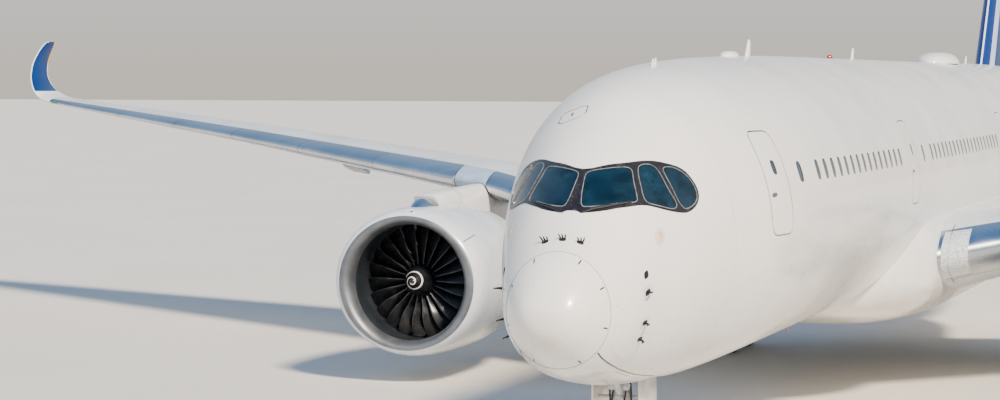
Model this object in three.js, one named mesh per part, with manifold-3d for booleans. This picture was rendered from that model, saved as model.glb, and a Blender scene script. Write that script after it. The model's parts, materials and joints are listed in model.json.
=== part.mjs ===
// Wide-body twin-engined airliner, parked on its landing gear, as a 1:2 scale model.
// Millimetres, +Z up. The nose points along -Y, the port wing along +X. The ground is z = 0.
// Sizes are written in real metres: x from the centreline, aft from the nose tip, z from the ground.
import * as THREE from "three";
import { mergeVertices } from "three/addons/utils/BufferGeometryUtils.js";
import Module from "manifold-3d";

const wasm = await Module();
wasm.setup();

// Driving dimensions, in real metres
const metre = 500; // one real metre of the airliner, in millimetres of the 1:2 model
const overallLength = 66.8;
const halfLength = overallLength / 2;
const fuselageSides = 36; // facets round the fuselage
const seat = 0.3 / metre; // gap between faces that rest on each other
const run = 7 / metre; // gap round a piece that moves

// Fuselage cross-sections: two half ellipses that meet at the widest height
const hullColumns = ["aft", "top", "bottom", "halfWidth", "widest"];
const hullTable = [
  [0.0, 3.97, 3.97, 0.0, 3.97],
  [0.06, 4.17, 3.65, 0.35, 3.95],
  [0.25, 4.48, 3.38, 0.59, 3.94],
  [0.71, 4.92, 3.02, 0.89, 3.94],
  [1.3, 5.37, 2.76, 1.16, 4.01],
  [2.1, 6.14, 2.6, 1.42, 4.26],
  [3.2, 7.0, 2.44, 1.79, 4.57],
  [4.6, 7.72, 2.33, 2.18, 4.87],
  [6.4, 8.09, 2.27, 2.62, 5.07],
  [8.6, 8.25, 2.28, 2.86, 5.2],
  [12.0, 8.35, 2.3, 2.96, 5.33],
  [18.0, 8.41, 2.32, 2.98, 5.36],
  [43.5, 8.41, 2.32, 2.98, 5.36],
  [47.5, 8.42, 2.72, 2.9, 5.5],
  [52.0, 8.42, 3.72, 2.55, 5.95],
  [57.0, 8.36, 4.98, 1.93, 6.55],
  [61.5, 8.14, 6.05, 1.2, 7.05],
  [65.0, 7.85, 6.8, 0.58, 7.32],
  [overallLength, 7.62, 7.1, 0.26, 7.36],
];
const radomeJoint = 0.78;
const cockpitJoint = 8.6;
const wingBoxJoint = 22.0;
const aftJoint = 43.5;
const tailConeJoint = 63.4;

// Belly fairing cross-sections: rounded boxes
const fairingTable = [
  // aft, bottom, half-width
  [19.2, 2.5, 1.2],
  [20.6, 2.12, 2.45],
  [22.6, 1.86, 3.08],
  [26.0, 1.75, 3.26],
  [36.0, 1.75, 3.26],
  [39.5, 1.92, 2.95],
  [42.0, 2.2, 2.2],
  [43.4, 2.55, 1.1],
];
const fairingTop = 5.0;
const fairingSquareness = 3;

// Wing sections: LE is the leading edge, twist is nose up in degrees
const wingTable = [
  // x, LE aft, LE z, chord, thickness, twist
  [2.3, 21.92, 3.37, 14.31, 0.14, 2.6],
  [2.98, 22.4, 3.5, 13.8, 0.14, 2.5],
  [6.6, 24.93, 4.2, 11.1, 0.128, 1.7],
  [10.5, 27.66, 4.95, 8.2, 0.115, 0.8],
  [20.7, 34.47, 6.04, 5.23, 0.105, -0.4],
  [30.9, 41.29, 7.05, 2.25, 0.1, -1.5],
];
const wingletTable = [
  // x, LE aft, LE z, chord, thickness, cant
  [30.9, 41.29, 7.05, 2.25, 0.1, 0],
  [31.48, 41.68, 7.2, 2.06, 0.1, 24],
  [31.92, 42.05, 7.52, 1.68, 0.1, 46],
  [32.2, 42.45, 8.0, 1.36, 0.1, 66],
  [32.33, 42.95, 8.5, 1.04, 0.1, 77],
  [32.36, 43.55, 8.98, 0.72, 0.1, 82],
  [32.37, 44.0, 9.27, 0.5, 0.1, 84],
];
// Control surfaces: the plan line of the front edge, and how far the piece reaches
const wingEdges = {
  // x1, aft1, x2, aft2, reach
  inboard_flap: [3.95, 34.1, 9.5, 34.1, 3.2],
  outboard_flap: [10.4, 34.15, 20.3, 38.13, 3.2],
  aileron: [21.3, 38.75, 29.6, 42.13, 3.2],
  spoiler: [11.1, 33.0, 19.6, 36.45, 0.95],
  slats: [10.98, 28.988, 29.7, 41.0, -2.4],
  droop_nose: [4.5, 24.6, 8.7, 27.54, -2.4],
};
// How far each hinge line lies below the mid-plane of the front edge
const hingeDrop = { inboard_flap: 0.98, outboard_flap: 0.8, slats: 0.6, droop_nose: 0.66 };
const knuckle = { radius: 0.08, length: 0.4, sides: 24 }; // of the flaps, under the track fairings
const rails = { slats: [14.0, 22.0], droop_nose: [5.6, 8.0], size: 0.06, reach: 0.36 };
// Hinge pins at the ends of doors and panels: proud is how far their line lies outside the skin
const pin = { radius: 0.012, depth: 0.1, proud: 0.004 };
const aileronNose = [0.126, 0.09]; // radius at the inner and outer end
const wingletTwist = -1.5;
const spoilerThickness = 0.07; // at the hinge
const spoilerEdge = 0.04; // at the rear edge
const camber = 0.012;
const trackTable = [
  // x, aft, length, width, depth of the flap track fairings
  [7.0, 31.6, 5.4, 0.62, 0.95],
  [12.9, 32.6, 4.6, 0.56, 0.85],
  [17.45, 34.57, 4.2, 0.5, 0.85],
];
const trackFullness = [
  // share of the length, share of the full section
  [0, 0.15],
  [0.08, 0.45],
  [0.22, 0.8],
  [0.45, 1],
  [0.75, 0.7],
  [1, 0.12],
];
const jackPad = { radius: 0.14, wing: [8.0, 31.0, 3.85], nose: [0, 7.2, 2.2] };

// Tail surfaces
const finTable = [
  // z, LE aft, chord, thickness
  [7.6, 51.7, 9.6, 0.1],
  [8.42, 52.4, 8.95, 0.1],
  [12.6, 55.75, 6.05, 0.1],
  [17.05, 59.4, 2.95, 0.095],
];
const rudderEdge = [9.35, 58.87, 16.5, 61.3, 4]; // height and aft at each end, reach
const rudderNose = [0.262, 0.101]; // radius at the lower and upper end
const tailplaneTable = [
  // x, LE aft, LE z, chord, thickness, twist
  [0.55, 56.6, 6.95, 6.1, 0.1, 0],
  [9.38, 63.0, 7.95, 2.15, 0.09, 0],
];
const elevatorEdge = [2.3, 61.55, 8.95, 64.35, 3]; // x and aft at each end, reach
const elevatorNose = [0.16, 0.063]; // radius at the inner and outer end

// Engines
const engine = { x: 10.42, z: 2.63, highlight: 21.68, sides: 24, blades: 16 };
const nacelleOuter = [
  // aft of the highlight, radius
  [0, 1.8],
  [0.07, 1.875],
  [0.3, 1.945],
  [0.8, 1.995],
  [1.7, 2.02],
  [3.1, 2.0],
  [4.4, 1.87],
  [5.7, 1.6],
];
const ductRadius = 1.52;
const inletInner = [
  [0.1, 1.71],
  [0.35, 1.625],
  [0.75, 1.555],
  [1.1, ductRadius],
];
const cowlJoint = 1.3; // inlet cowl to fan cowl
const sleeveJoint = 3.1; // fan cowl to thrust reverser sleeve
const cascade = { back: 3.75, radius: 1.56 }; // the ring that the sleeve slides on
const sleeveInner = [
  [4.4, 1.6],
  [5.66, 1.56],
];
const fan = { tip: 1.485, front: 1.06, chord: 0.42, rootRadius: 0.4, thickness: 0.035 };
const fanTwist = [
  // share of the span, degrees from the engine's axis
  [0, 25],
  [1, 60],
];
const fanHub = [
  [0.45, 0],
  [0.6, 0.17],
  [0.85, 0.32],
  [1.1, 0.43],
  [1.55, 0.45],
];
const shaft = { radius: 0.12, front: 1.3, clearance: 0.0015 };
const slip = 0.001; // gap between a pin and its hole, or a rail and its groove
const vanes = { count: 6, front: 2.2, back: 2.7, thickness: 0.05, root: 0.4, past: 0.1 };
const coreProfile = [
  // aft of the highlight, radius
  [1.36, 0],
  [1.36, shaft.radius],
  [1.6, shaft.radius],
  [1.6, 0.3],
  [1.8, 0.5],
  [2.6, 0.62],
  [3.4, 0.95],
  [4.8, 1.0],
  [6.0, 0.82],
  [6.6, 0.66],
  [6.6, 0.42],
  [7.3, 0.12],
  [7.4, 0.0],
];
const pylonHalfWidth = 0.36;
const pylonRoom = { front: 1.5, back: 7, bottom: 3.3, top: 6 }; // the cut for it in the cowls
const pylonSide = [
  // aft of the highlight, z: side view of the pylon
  [1.55, 4.5],
  [1.85, 4.82],
  [2.5, 5.02],
  [3.6, 5.12],
  [5.0, 5.16],
  [6.2, 5.22],
  [10.8, 5.0],
  [11.4, 4.55],
  [9.2, 3.85],
  [6.4, 3.4],
  [3.45, 3.4],
  [3.3, 4.4],
];

// Landing gear
const noseGear = { x: 0, aft: 4.85, tyre: 0.525, width: 0.4, spread: 0.36, axle: 0.06 };
const mainGear = { x: 5.3, aft: 33.51, tyre: 0.7, width: 0.53, spread: 0.865, base: 2.04, axle: 0.075 };
const tyreSides = 16;
const roundSides = 24; // of pins and holes that turn
const wheelProfile = [
  // share of the half width, share of the tyre's radius
  [-0.55, 0],
  [-0.55, 0.46],
  [-1, 0.54],
  [-1, 0.82],
  [-0.62, 1],
  [0.62, 1],
  [1, 0.82],
  [1, 0.54],
  [0.55, 0.46],
  [0.55, 0],
];
// Struts of the gear legs: x, aft and z of each end, radius at each end, sides; x and aft count
// from the leg's middle
const noseLegStruts = [
  [0, 0, 1.5, 0, 0, 3.8, 0.15, 0.15, 12],
  [0, 0, 1.95, 0, -1.5, 3.75, 0.07, 0.09, 8],
  [-0.44, 0, 2.05, 0.44, 0, 2.05, 0.03, 0.03, 8],
];
const steeringStruts = [
  [0, 0, 1.3, 0, 0, 1.5 - seat, 0.17, 0.17, 12],
  [0, 0, 0.575, 0, 0, 1.78, 0.09, 0.09, roundSides],
  [-0.13, 0, noseGear.tyre, 0.13, 0, noseGear.tyre, 0.11, 0.11, 12],
  [0, 0.14, 1.4, 0, 0.38, 1.05, 0.035, 0.035, 8],
  [0, 0.38, 1.05, 0, 0.06, 0.585, 0.035, 0.035, 8],
];
const steeringSocket = { radius: 0.09, bottom: 1.4, top: 1.8 };
const mainLegStruts = [
  [0, 0, 0.8, 0, -0.05, 1.75, 0.15, 0.15, 12],
  [0, -0.03, 1.6, 0, -0.12, 3.7, 0.24, 0.27, 12],
  [0, -0.05, 1.9, -1.6, -0.2, 3.25, 0.1, 0.1, 8],
  [0, -0.05, 1.9, -0.1, -1.9, 3.9, 0.09, 0.09, 8],
  [0, -0.2, 2.4, 0.48, -0.2, 2.4, 0.05, 0.05, 8],
  [0, 0.15, 1.7, 0, 0.5, 1.25, 0.05, 0.05, 8],
  [0, 0.5, 1.25, 0, 0.12, 0.85, 0.05, 0.05, 8],
];
// Plates and beams of the gear legs: their reach in x, aft and z
const noseLegPlates = [
  [-0.46, -0.42, -0.45, 0.75, 1.62, 2.42],
  [0.42, 0.46, -0.45, 0.75, 1.62, 2.42],
];
const steeringPlates = [[-0.08, 0.08, -0.24, 0, 0.475, 0.575]];
const mainLegPlates = [
  [-0.12, 0.12, -1.22, 1.22, 0.53, 0.87],
  [0.42, 0.47, -1.0, 0.35, 1.5, 3.6],
];
const noseBay = { front: 1.95, split: 4.25, back: 5.75, half: 0.68, roof: 3.75, skin: 0.06 };
const mainBay = {
  front: 31.9,
  back: 35.3,
  inner: 0.3,
  outer: 2.1,
  roof: 3.1,
  skin: 0.08,
  hinge: 1.76,
};
const cargoDoors = [
  // name, front, back, sill, head
  ["forward_cargo_door", 11.0, 13.8, 3.1, 4.78],
  ["aft_cargo_door", 44.3, 47.0, 3.35, 5.0],
];
const cargoSkin = 0.12;
const headGap = 0.026; // above a cargo door, so that its edge clears as it swings up
const holdDepth = 2.1;
const holdStretch = [cockpitJoint, 52]; // stations between which the doors lie
const maskOutline = [
  // aft, z: side view of the dark surround of the cockpit windows
  [1.4, 5.56],
  [1.9, 5.66],
  [2.22, 5.7],
  [2.54, 5.62],
  [3.06, 5.53],
  [3.33, 5.57],
  [3.63, 5.81],
  [3.54, 6.18],
  [3.25, 6.4],
  [2.89, 6.45],
  [2.6, 6.4],
  [2.2, 6.31],
];
const maskThickness = 0.02;
const maskStretch = [1.3, 4.6]; // stations between which it lies

const paint = (color, roughness, metalness = 0) =>
  new THREE.MeshStandardMaterial({ color, roughness, metalness });
const finishes = {
  whitePaint: paint(0xeceae5, 0.25),
  wingGrey: paint(0xd3d8dc, 0.35),
  bareMetal: paint(0xb9bec4, 0.25, 1),
  bluePaint: paint(0x155a9c, 0.3),
  darkMask: paint(0x1c1714, 0.3),
  coreMetal: paint(0x6f6a62, 0.4, 1),
  fanBlack: paint(0x22242a, 0.35, 0.6),
  gearPaint: paint(0xdfe0dc, 0.4),
  tyreRubber: paint(0x1d1d1e, 0.85),
};

// Solids and meshes
const place = (x, aft, z) =>
  new THREE.Vector3(x * metre, (aft - halfLength) * metre, z * metre);

function solidOf(geometry) {
  const bare = new THREE.BufferGeometry();
  bare.setAttribute("position", geometry.getAttribute("position"));
  bare.setIndex(geometry.index);
  const merged = mergeVertices(bare, 1e-3);
  return new wasm.Manifold(
    new wasm.Mesh({
      numProp: 3,
      vertProperties: merged.attributes.position.array,
      triVerts: new Uint32Array(merged.index.array),
    }),
  );
}

function geometryOf(solid) {
  const { vertProperties, triVerts } = solid.getMesh();
  const geometry = new THREE.BufferGeometry();
  geometry.setAttribute("position", new THREE.BufferAttribute(vertProperties, 3));
  geometry.setIndex(new THREE.BufferAttribute(triVerts, 1));
  return geometry;
}

function unite(solids) {
  return solids.reduce((whole, solid) => whole.add(solid));
}

// A closed solid through rings of equal point count, its ends closed by strips; the second half
// of each ring is split the other way, so that a mirrored ring gives mirrored faces
function loft(rings) {
  const count = rings[0].length;
  const points = rings.flat();
  const faces = [];
  for (let r = 0; r + 1 < rings.length; r++) {
    for (let i = 0; i < count; i++) {
      const a = r * count + i;
      const b = r * count + ((i + 1) % count);
      const [c, d] = [a + count, b + count];
      if (i < count / 2) faces.push(a, b, c, b, d, c);
      else faces.push(a, b, d, a, d, c);
    }
  }
  const last = (rings.length - 1) * count;
  for (let i = 0; i < count / 2; i++) {
    const corners = [i, i + 1, count - 1 - i, (count - i) % count];
    const [a, b, c, d] = corners;
    if (b !== c) faces.push(a, c, b, last + a, last + b, last + c);
    if (a !== d) faces.push(a, d, c, last + a, last + c, last + d);
  }
  const geometry = new THREE.BufferGeometry().setFromPoints(points);
  geometry.setIndex(faces);
  const solid = solidOf(geometry);
  if (solid.volume() > 0) return solid;
  for (let i = 0; i < faces.length; i += 3) {
    [faces[i + 1], faces[i + 2]] = [faces[i + 2], faces[i + 1]];
  }
  geometry.setIndex(faces);
  return solidOf(geometry);
}

function block(x1, x2, aft1, aft2, z1, z2) {
  const size = new THREE.BoxGeometry(
    (x2 - x1) * metre,
    (aft2 - aft1) * metre,
    (z2 - z1) * metre,
  );
  const centre = place((x1 + x2) / 2, (aft1 + aft2) / 2, (z1 + z2) / 2);
  return solidOf(size.translate(centre.x, centre.y, centre.z));
}

// A round bar between two places, with its own radius at each end
function bar(from, to, radius1, radius2 = radius1, sides = 12) {
  const [a, b] = [place(...from), place(...to)];
  const along = b.clone().sub(a);
  const length = along.length();
  const shape = new THREE.CylinderGeometry(radius2 * metre, radius1 * metre, length, sides);
  const turn = new THREE.Quaternion().setFromUnitVectors(
    new THREE.Vector3(0, 1, 0),
    along.normalize(),
  );
  shape.applyQuaternion(turn);
  const middle = a.clone().add(b).multiplyScalar(0.5);
  return solidOf(shape.translate(middle.x, middle.y, middle.z));
}

// A solid turned round an axis: the profile's pairs are a distance along the axis and a radius
function turned(profile, centre, axis, sides, start = 0) {
  const points = profile.map(([along, radius]) => new THREE.Vector2(radius * metre, along * metre));
  const shape = new THREE.LatheGeometry(points, sides, start);
  const turn = new THREE.Quaternion().setFromUnitVectors(new THREE.Vector3(0, 1, 0), axis);
  shape.applyQuaternion(turn);
  const at = place(...centre);
  const solid = solidOf(shape.translate(at.x, at.y, at.z));
  if (solid.volume() > 0) return solid;
  return turned([...profile].reverse(), centre, axis, sides, start);
}

// Monotone cubic interpolation of table columns against the square root of the first column,
// which keeps the nose blunt
function monotone(table, key) {
  const u = table.map((row) => Math.sqrt(row[0]));
  const slopes = table[0].slice(1).map((_, column) => {
    const y = table.map((row) => row[column + 1]);
    const chord = u.slice(1).map((value, i) => (y[i + 1] - y[i]) / (value - u[i]));
    return y.map((_, i) => {
      if (i === 0) return chord[0];
      if (i === y.length - 1) return chord[i - 1];
      const product = chord[i - 1] * chord[i];
      return product > 0 ? (2 * product) / (chord[i - 1] + chord[i]) : 0;
    });
  });
  const at = Math.sqrt(key);
  let i = 0;
  while (i < u.length - 2 && at > u[i + 1]) i++;
  const span = u[i + 1] - u[i];
  const t = (at - u[i]) / span;
  return slopes.map((slope, column) => {
    const [y0, y1] = [table[i][column + 1], table[i + 1][column + 1]];
    const bend = t * t * (3 - 2 * t);
    const start = t * (1 - t) * (1 - t) * span * slope[i];
    const end = t * t * (t - 1) * span * slope[i + 1];
    return y0 + (y1 - y0) * bend + start + end;
  });
}

// The fuselage's outline at one station, as an object named by the table's columns
function hullAt(aft) {
  const values = [aft, ...monotone(hullTable, aft)];
  return Object.fromEntries(hullColumns.map((name, i) => [name, values[i]]));
}

function hullRing(aft, grow, sides = fuselageSides) {
  const { top, bottom, halfWidth, widest } = hullAt(aft);
  const ring = [];
  for (let i = 0; i < sides; i++) {
    const angle = (i / sides) * 2 * Math.PI;
    const up = Math.cos(angle);
    const height = up > 0 ? top - widest : widest - bottom;
    const x = (Math.max(halfWidth, 0.05) + grow) * Math.sin(angle);
    ring.push(place(x, aft, widest + (Math.max(height, 0.05) + grow) * up));
  }
  return ring;
}

// Fuselage stations where the skin has a ring of corners
const hullStations = [
  0.06, 0.25, 0.45, radomeJoint, 1.3, 1.7, 2.1, 2.6, 3.2, 3.9, 4.6, 5.5, 6.4, 7.5, cockpitJoint, 12,
  18, aftJoint, 47.5, 52, 57, 61.5, tailConeJoint, 65,
];

// The fuselage between two stations, its skin moved out by grow
function hull(from, to, grow = 0) {
  const inner = hullStations.filter((aft) => aft > from + 0.02 && aft < to - 0.02);
  return loft([from, ...inner, to].map((aft) => hullRing(aft, grow)));
}

// The outline of an aerofoil as pairs: share of the chord from the leading edge, and height
function aerofoil(thickness, bend) {
  const shares = [1, 0.78, 0.55, 0.32, 0.14, 0.035, 0];
  const half = (c) =>
    5 * thickness * (0.2969 * Math.sqrt(c) - 0.126 * c - 0.3516 * c ** 2 + 0.2843 * c ** 3 - 0.1036 * c ** 4);
  const line = (c) => 4 * bend * c * (1 - c);
  const upper = shares.map((c) => [c, line(c) + half(c)]);
  const lower = shares.slice(1, -1).reverse().map((c) => [c, line(c) - half(c)]);
  return [...upper, ...lower];
}

// A wing-like section: cant is the lean of its thickness from upright, in degrees
function wingRing([x, aft, z, chord, thickness, twist], cant = 0, bend = camber) {
  const tilt = THREE.MathUtils.degToRad(twist);
  const lean = THREE.MathUtils.degToRad(cant);
  return aerofoil(thickness, bend).map(([share, height]) => {
    const back = chord * (share * Math.cos(tilt) + height * Math.sin(tilt));
    const up = chord * (height * Math.cos(tilt) - share * Math.sin(tilt));
    return place(x - up * Math.sin(lean), aft + back, z + up * Math.cos(lean));
  });
}

// Height of a surface's mid-plane at a plan position, from its section table
function midHeight(table, bend, x, aft) {
  let i = 0;
  while (i < table.length - 2 && x > table[i + 1][0]) i++;
  const t = (x - table[i][0]) / (table[i + 1][0] - table[i][0]);
  const [, lead, z, chord, , twist] = table[i].map((value, k) => value + t * (table[i + 1][k] - value));
  const share = (aft - lead) / chord;
  const fall = (aft - lead) * Math.sin(THREE.MathUtils.degToRad(twist));
  return z + chord * 4 * bend * share * (1 - share) - fall;
}

// The two ends of an edge line in space, on the surface's mid-plane
function edgeEnds([x1, aft1, x2, aft2], heightAt) {
  return [
    [x1, aft1, heightAt(x1, aft1)],
    [x2, aft2, heightAt(x2, aft2)],
  ];
}

// A tall box whose front face holds the line between two places and which reaches aft of it;
// its ends are square to that line
function slabBehind([from, to], reach, grow = 0) {
  const [a, b] = [place(...from), place(...to)];
  const along = b.clone().sub(a);
  const length = along.length();
  along.normalize();
  const aft = new THREE.Vector3(-along.y, along.x, 0).normalize();
  const up = along.clone().cross(aft);
  const margin = 2 * grow * metre;
  const shape = new THREE.BoxGeometry(
    length + margin,
    Math.abs(reach) * metre + margin,
    12 * metre,
  );
  const centre = a.add(b).multiplyScalar(0.5).addScaledVector(aft, (reach / 2) * metre);
  shape.applyMatrix4(new THREE.Matrix4().makeBasis(along, aft, up).setPosition(centre));
  return solidOf(shape);
}

// Height of a solid's highest point at a plan position, in real metres
function topOf(solid, x, aft) {
  const needle = block(x - 0.001, x + 0.001, aft - 0.001, aft + 0.001, 0, 20);
  return solid.intersect(needle).boundingBox().max[2] / metre;
}

// A place moved square to the plane through three others
function raised(from, [a, b, c], distance) {
  const [start, end, rear] = [a, b, c].map((corner) => new THREE.Vector3(...corner));
  const up = end.sub(start).cross(rear.sub(start)).normalize();
  return up.multiplyScalar(distance).add(new THREE.Vector3(...from)).toArray();
}

// A box on the plane through three places: it starts at the line between the first two, reaches
// towards the third and rises from the plane
function plateOn([a, b, c], reach, grow = 0) {
  const [start, end, rear] = [a, b, c].map((corner) => place(...corner));
  const along = end.clone().sub(start);
  const length = along.length();
  along.normalize();
  const up = along.clone().cross(rear.sub(start)).normalize();
  const back = up.clone().cross(along);
  const margin = 2 * grow * metre;
  const height = metre;
  const shape = new THREE.BoxGeometry(length + margin, reach * metre + margin, height);
  const centre = start.add(end).multiplyScalar(0.5);
  centre.addScaledVector(back, (reach / 2) * metre).addScaledVector(up, height / 2 - grow * metre);
  shape.applyMatrix4(new THREE.Matrix4().makeBasis(along, back, up).setPosition(centre));
  return solidOf(shape);
}

// Splits a surface at a plain vertical joint: the moving piece and what stays
function splitAtEdge(whole, ends, reach) {
  return [
    whole.intersect(slabBehind(ends, reach)),
    whole.subtract(slabBehind(ends, reach, run)),
  ];
}

// Splits a surface at a round-nosed hinge on the line between the ends
function splitAtHinge(whole, ends, reach, [radius1, radius2]) {
  const past = beyond(ends, run);
  const nose = bar(...ends, radius1, radius2, 20);
  const socket = bar(...past, radius1 + run, radius2 + run, 20);
  return [
    whole.intersect(slabBehind(ends, reach).add(nose)).add(endPins(ends, radius2 / 2)),
    whole.subtract(slabBehind(ends, reach, run).add(socket)),
  ];
}

// The two ends of a line moved apart along it
function beyond([from, to], distance) {
  const [a, b] = [from, to].map((end) => new THREE.Vector3(...end));
  const step = b.clone().sub(a).normalize().multiplyScalar(distance);
  return [a.sub(step).toArray(), b.add(step).toArray()];
}

// Pins on a hinge line that stand out of both ends of a piece and stop just short of the walls
function endPins(ends, radius) {
  const out = beyond(ends, run - seat);
  const within = beyond(ends, -pin.depth);
  return bar(out[0], within[0], radius, radius, 6).add(bar(within[1], out[1], radius, radius, 6));
}

// A place on the line between two ends, at one x
function onLine([from, to], x) {
  const t = (x - from[0]) / (to[0] - from[0]);
  return from.map((value, i) => value + t * (to[i] - value));
}

// The hinge line of a piece that turns about a line below its front edge
const lowered = (ends, drop) => ends.map(([x, aft, z]) => [x, aft, z - drop]);

// The flap's hinge barrels under its track fairings, or the hollows that they turn in
function knuckles(ends, drop, grow) {
  const line = lowered(ends, drop);
  const found = trackTable.filter(([x]) => x > ends[0][0] && x < ends[1][0]);
  const radius = knuckle.radius + grow;
  const barrels = found.map(([x]) => {
    const half = knuckle.length / 2 + grow;
    return bar(onLine(line, x - half), onLine(line, x + half), radius, radius, knuckle.sides);
  });
  return unite(barrels);
}

// Curved rails behind the leading edge pieces, or the grooves that they run in
function railsOf(name, ends, grow) {
  const radius = hingeDrop[name];
  const line = lowered(ends, radius);
  const axis = new THREE.Vector3(...line[1]).sub(new THREE.Vector3(...line[0])).normalize();
  const half = rails.size / 2 + grow;
  const section = [[-half, -half], [half, -half], [half, half], [-half, half], [-half, -half]];
  const profile = section.map(([along, out]) => [along, radius + out]);
  const arcs = rails[name].map((x) => {
    const [, aft, z] = onLine(line, x);
    const ring = turned(profile, [x, aft, z], axis, 72);
    const end = aft + rails.reach + 7 * grow;
    return ring.intersect(block(x - 0.5, x + 0.5, aft - 0.2, end, z + radius / 2, z + 2 * radius));
  });
  return unite(arcs);
}

function moved(solid, x, aft, z) {
  return solidOf(geometryOf(solid).translate(x * metre, aft * metre, z * metre));
}

// A wing lofted on its side, stood upright: what was x becomes height
function upright(solid) {
  return solidOf(geometryOf(solid).rotateY(-Math.PI / 2));
}

// A flap track fairing: a canoe that hangs below the wing's mid-plane
function trackFairing([x, aft, length, width, depth]) {
  const rings = trackFullness.map(([share, full]) => {
    const at = aft + share * length;
    const middle = midHeight(wingTable, camber, x, at);
    return Array.from({ length: 10 }, (_, k) => {
      const angle = (k / 9) * Math.PI;
      const across = (width / 2) * full * Math.cos(angle);
      return place(x + across, at, middle - depth * full * Math.sin(angle));
    });
  });
  return loft(rings);
}

// Wing, port side: every piece of it in one object, named
function makeWing(body) {
  const heightAt = (x, aft) => midHeight(wingTable, camber, x, aft);
  const ends = (name) => edgeEnds(wingEdges[name], heightAt);
  const reach = (name) => wingEdges[name][4];
  const pieces = {};
  const bare = loft(wingTable.map((row) => wingRing(row)));
  const [x1, aft1, x2, aft2, depth] = wingEdges.spoiler;
  const corners = [
    [x1, aft1, topOf(bare, x1, aft1) - spoilerThickness],
    [x2, aft2, topOf(bare, x2, aft2) - spoilerThickness],
    [x1, aft1 + depth, topOf(bare, x1, aft1 + depth) - spoilerEdge],
  ];
  const spoilerHinge = corners.slice(0, 2).map((corner) => raised(corner, corners, spoilerThickness));
  pieces.spoiler = bare.intersect(plateOn(corners, depth)).add(endPins(spoilerHinge, pin.radius));
  let wing = unite([bare, ...trackTable.map(trackFairing)]).subtract(plateOn(corners, depth, run));
  for (const name of ["inboard_flap", "outboard_flap"]) {
    const [flap, rest] = splitAtEdge(wing, ends(name), reach(name));
    pieces[name] = flap.add(knuckles(ends(name), hingeDrop[name], 0));
    wing = rest.subtract(knuckles(ends(name), hingeDrop[name], slip));
  }
  for (const name of ["slats", "droop_nose"]) {
    const [nose, rest] = splitAtEdge(wing, ends(name), reach(name));
    pieces[name] = nose.add(railsOf(name, ends(name), 0));
    wing = rest.subtract(railsOf(name, ends(name), shaft.clearance));
  }
  [pieces.aileron, wing] = splitAtHinge(wing, ends("aileron"), reach("aileron"), aileronNose);
  const [x, aft, z] = jackPad.wing;
  pieces.wing = wing.subtract(body).add(bar([x, aft, z + 0.5], [x, aft, z], jackPad.radius));
  pieces.winglet = loft(
    wingletTable.map(([span, lead, height, chord, thickness, cant], i) =>
      wingRing([span + (i ? 0 : seat), lead, height, chord, thickness, wingletTwist], cant),
    ),
  );
  return pieces;
}

// A rounded-box outline of the belly fairing at one station
function fairingRing([aft, bottom, halfWidth], grow) {
  const sides = 28;
  const middle = (fairingTop + bottom) / 2;
  const height = (fairingTop - bottom) / 2 + grow;
  const round = (value) => Math.sign(value) * Math.abs(value) ** (2 / fairingSquareness);
  return Array.from({ length: sides }, (_, i) => {
    const angle = (i / sides) * 2 * Math.PI;
    return place((halfWidth + grow) * round(Math.sin(angle)), aft, middle + height * round(Math.cos(angle)));
  });
}

const fairingLoft = (grow) => loft(fairingTable.map((row) => fairingRing(row, grow)));

// The stretch of fuselage inside the fairing
const fairedHull = () => hull(fairingTable[0][0] - 1, fairingTable.at(-1)[0] + 1, seat);

// Where a solid's side lies at one station and height
function sideOf(solid, aft, z) {
  const needle = block(0, 10, aft - 0.001, aft + 0.001, z - 0.001, z + 0.001);
  return solid.intersect(needle).boundingBox().max[0] / metre;
}

function underside(aft, x) {
  const { bottom, halfWidth, widest } = hullAt(aft);
  return widest - (widest - bottom) * Math.sqrt(1 - (x / halfWidth) ** 2);
}

// Nose wheel bay: the cut for it and its port front door
function makeNoseBay() {
  const { front, split, back, half, roof, skin } = noseBay;
  const ends = [front, split].map((aft) => [half, aft, underside(aft, half)]);
  const below = block(-2, 2, front - 0.5, back, 0, roof);
  const port = slabBehind(ends, half - run / 2, run);
  const wide = block(-half - run, half + run, split - 0.2, back, 0, roof);
  const cut = port.add(mirrored(port)).intersect(below).add(wide);
  const shell = hull(1.3, back).subtract(hull(1.3, back, -skin));
  const door = shell.intersect(slabBehind(ends, half - run / 2)).intersect(block(0, 2, 1, back, 0, 3.4));
  return [cut, door.add(endPins(ends, pin.radius))];
}

function mirrored(solid) {
  const geometry = geometryOf(solid).scale(-1, 1, 1);
  const corners = geometry.index.array;
  for (let i = 0; i < corners.length; i += 3) {
    [corners[i + 1], corners[i + 2]] = [corners[i + 2], corners[i + 1]];
  }
  return solidOf(geometry);
}

// The dark surround and panes of the cockpit windows, a thin band on the skin
function makeCockpitWindows() {
  const band = hull(...maskStretch, seat + maskThickness).subtract(hull(...maskStretch, seat));
  const outline = new THREE.Shape(
    maskOutline.map(([aft, z]) => new THREE.Vector2((aft - halfLength) * metre, z * metre)),
  );
  const across = 6 * metre;
  const prism = new THREE.ExtrudeGeometry(outline, { depth: across, bevelEnabled: false });
  prism.translate(0, 0, -across / 2);
  const axes = [new THREE.Vector3(0, 1, 0), new THREE.Vector3(0, 0, 1), new THREE.Vector3(1, 0, 0)];
  prism.applyMatrix4(new THREE.Matrix4().makeBasis(...axes));
  return band.intersect(solidOf(prism));
}

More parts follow.
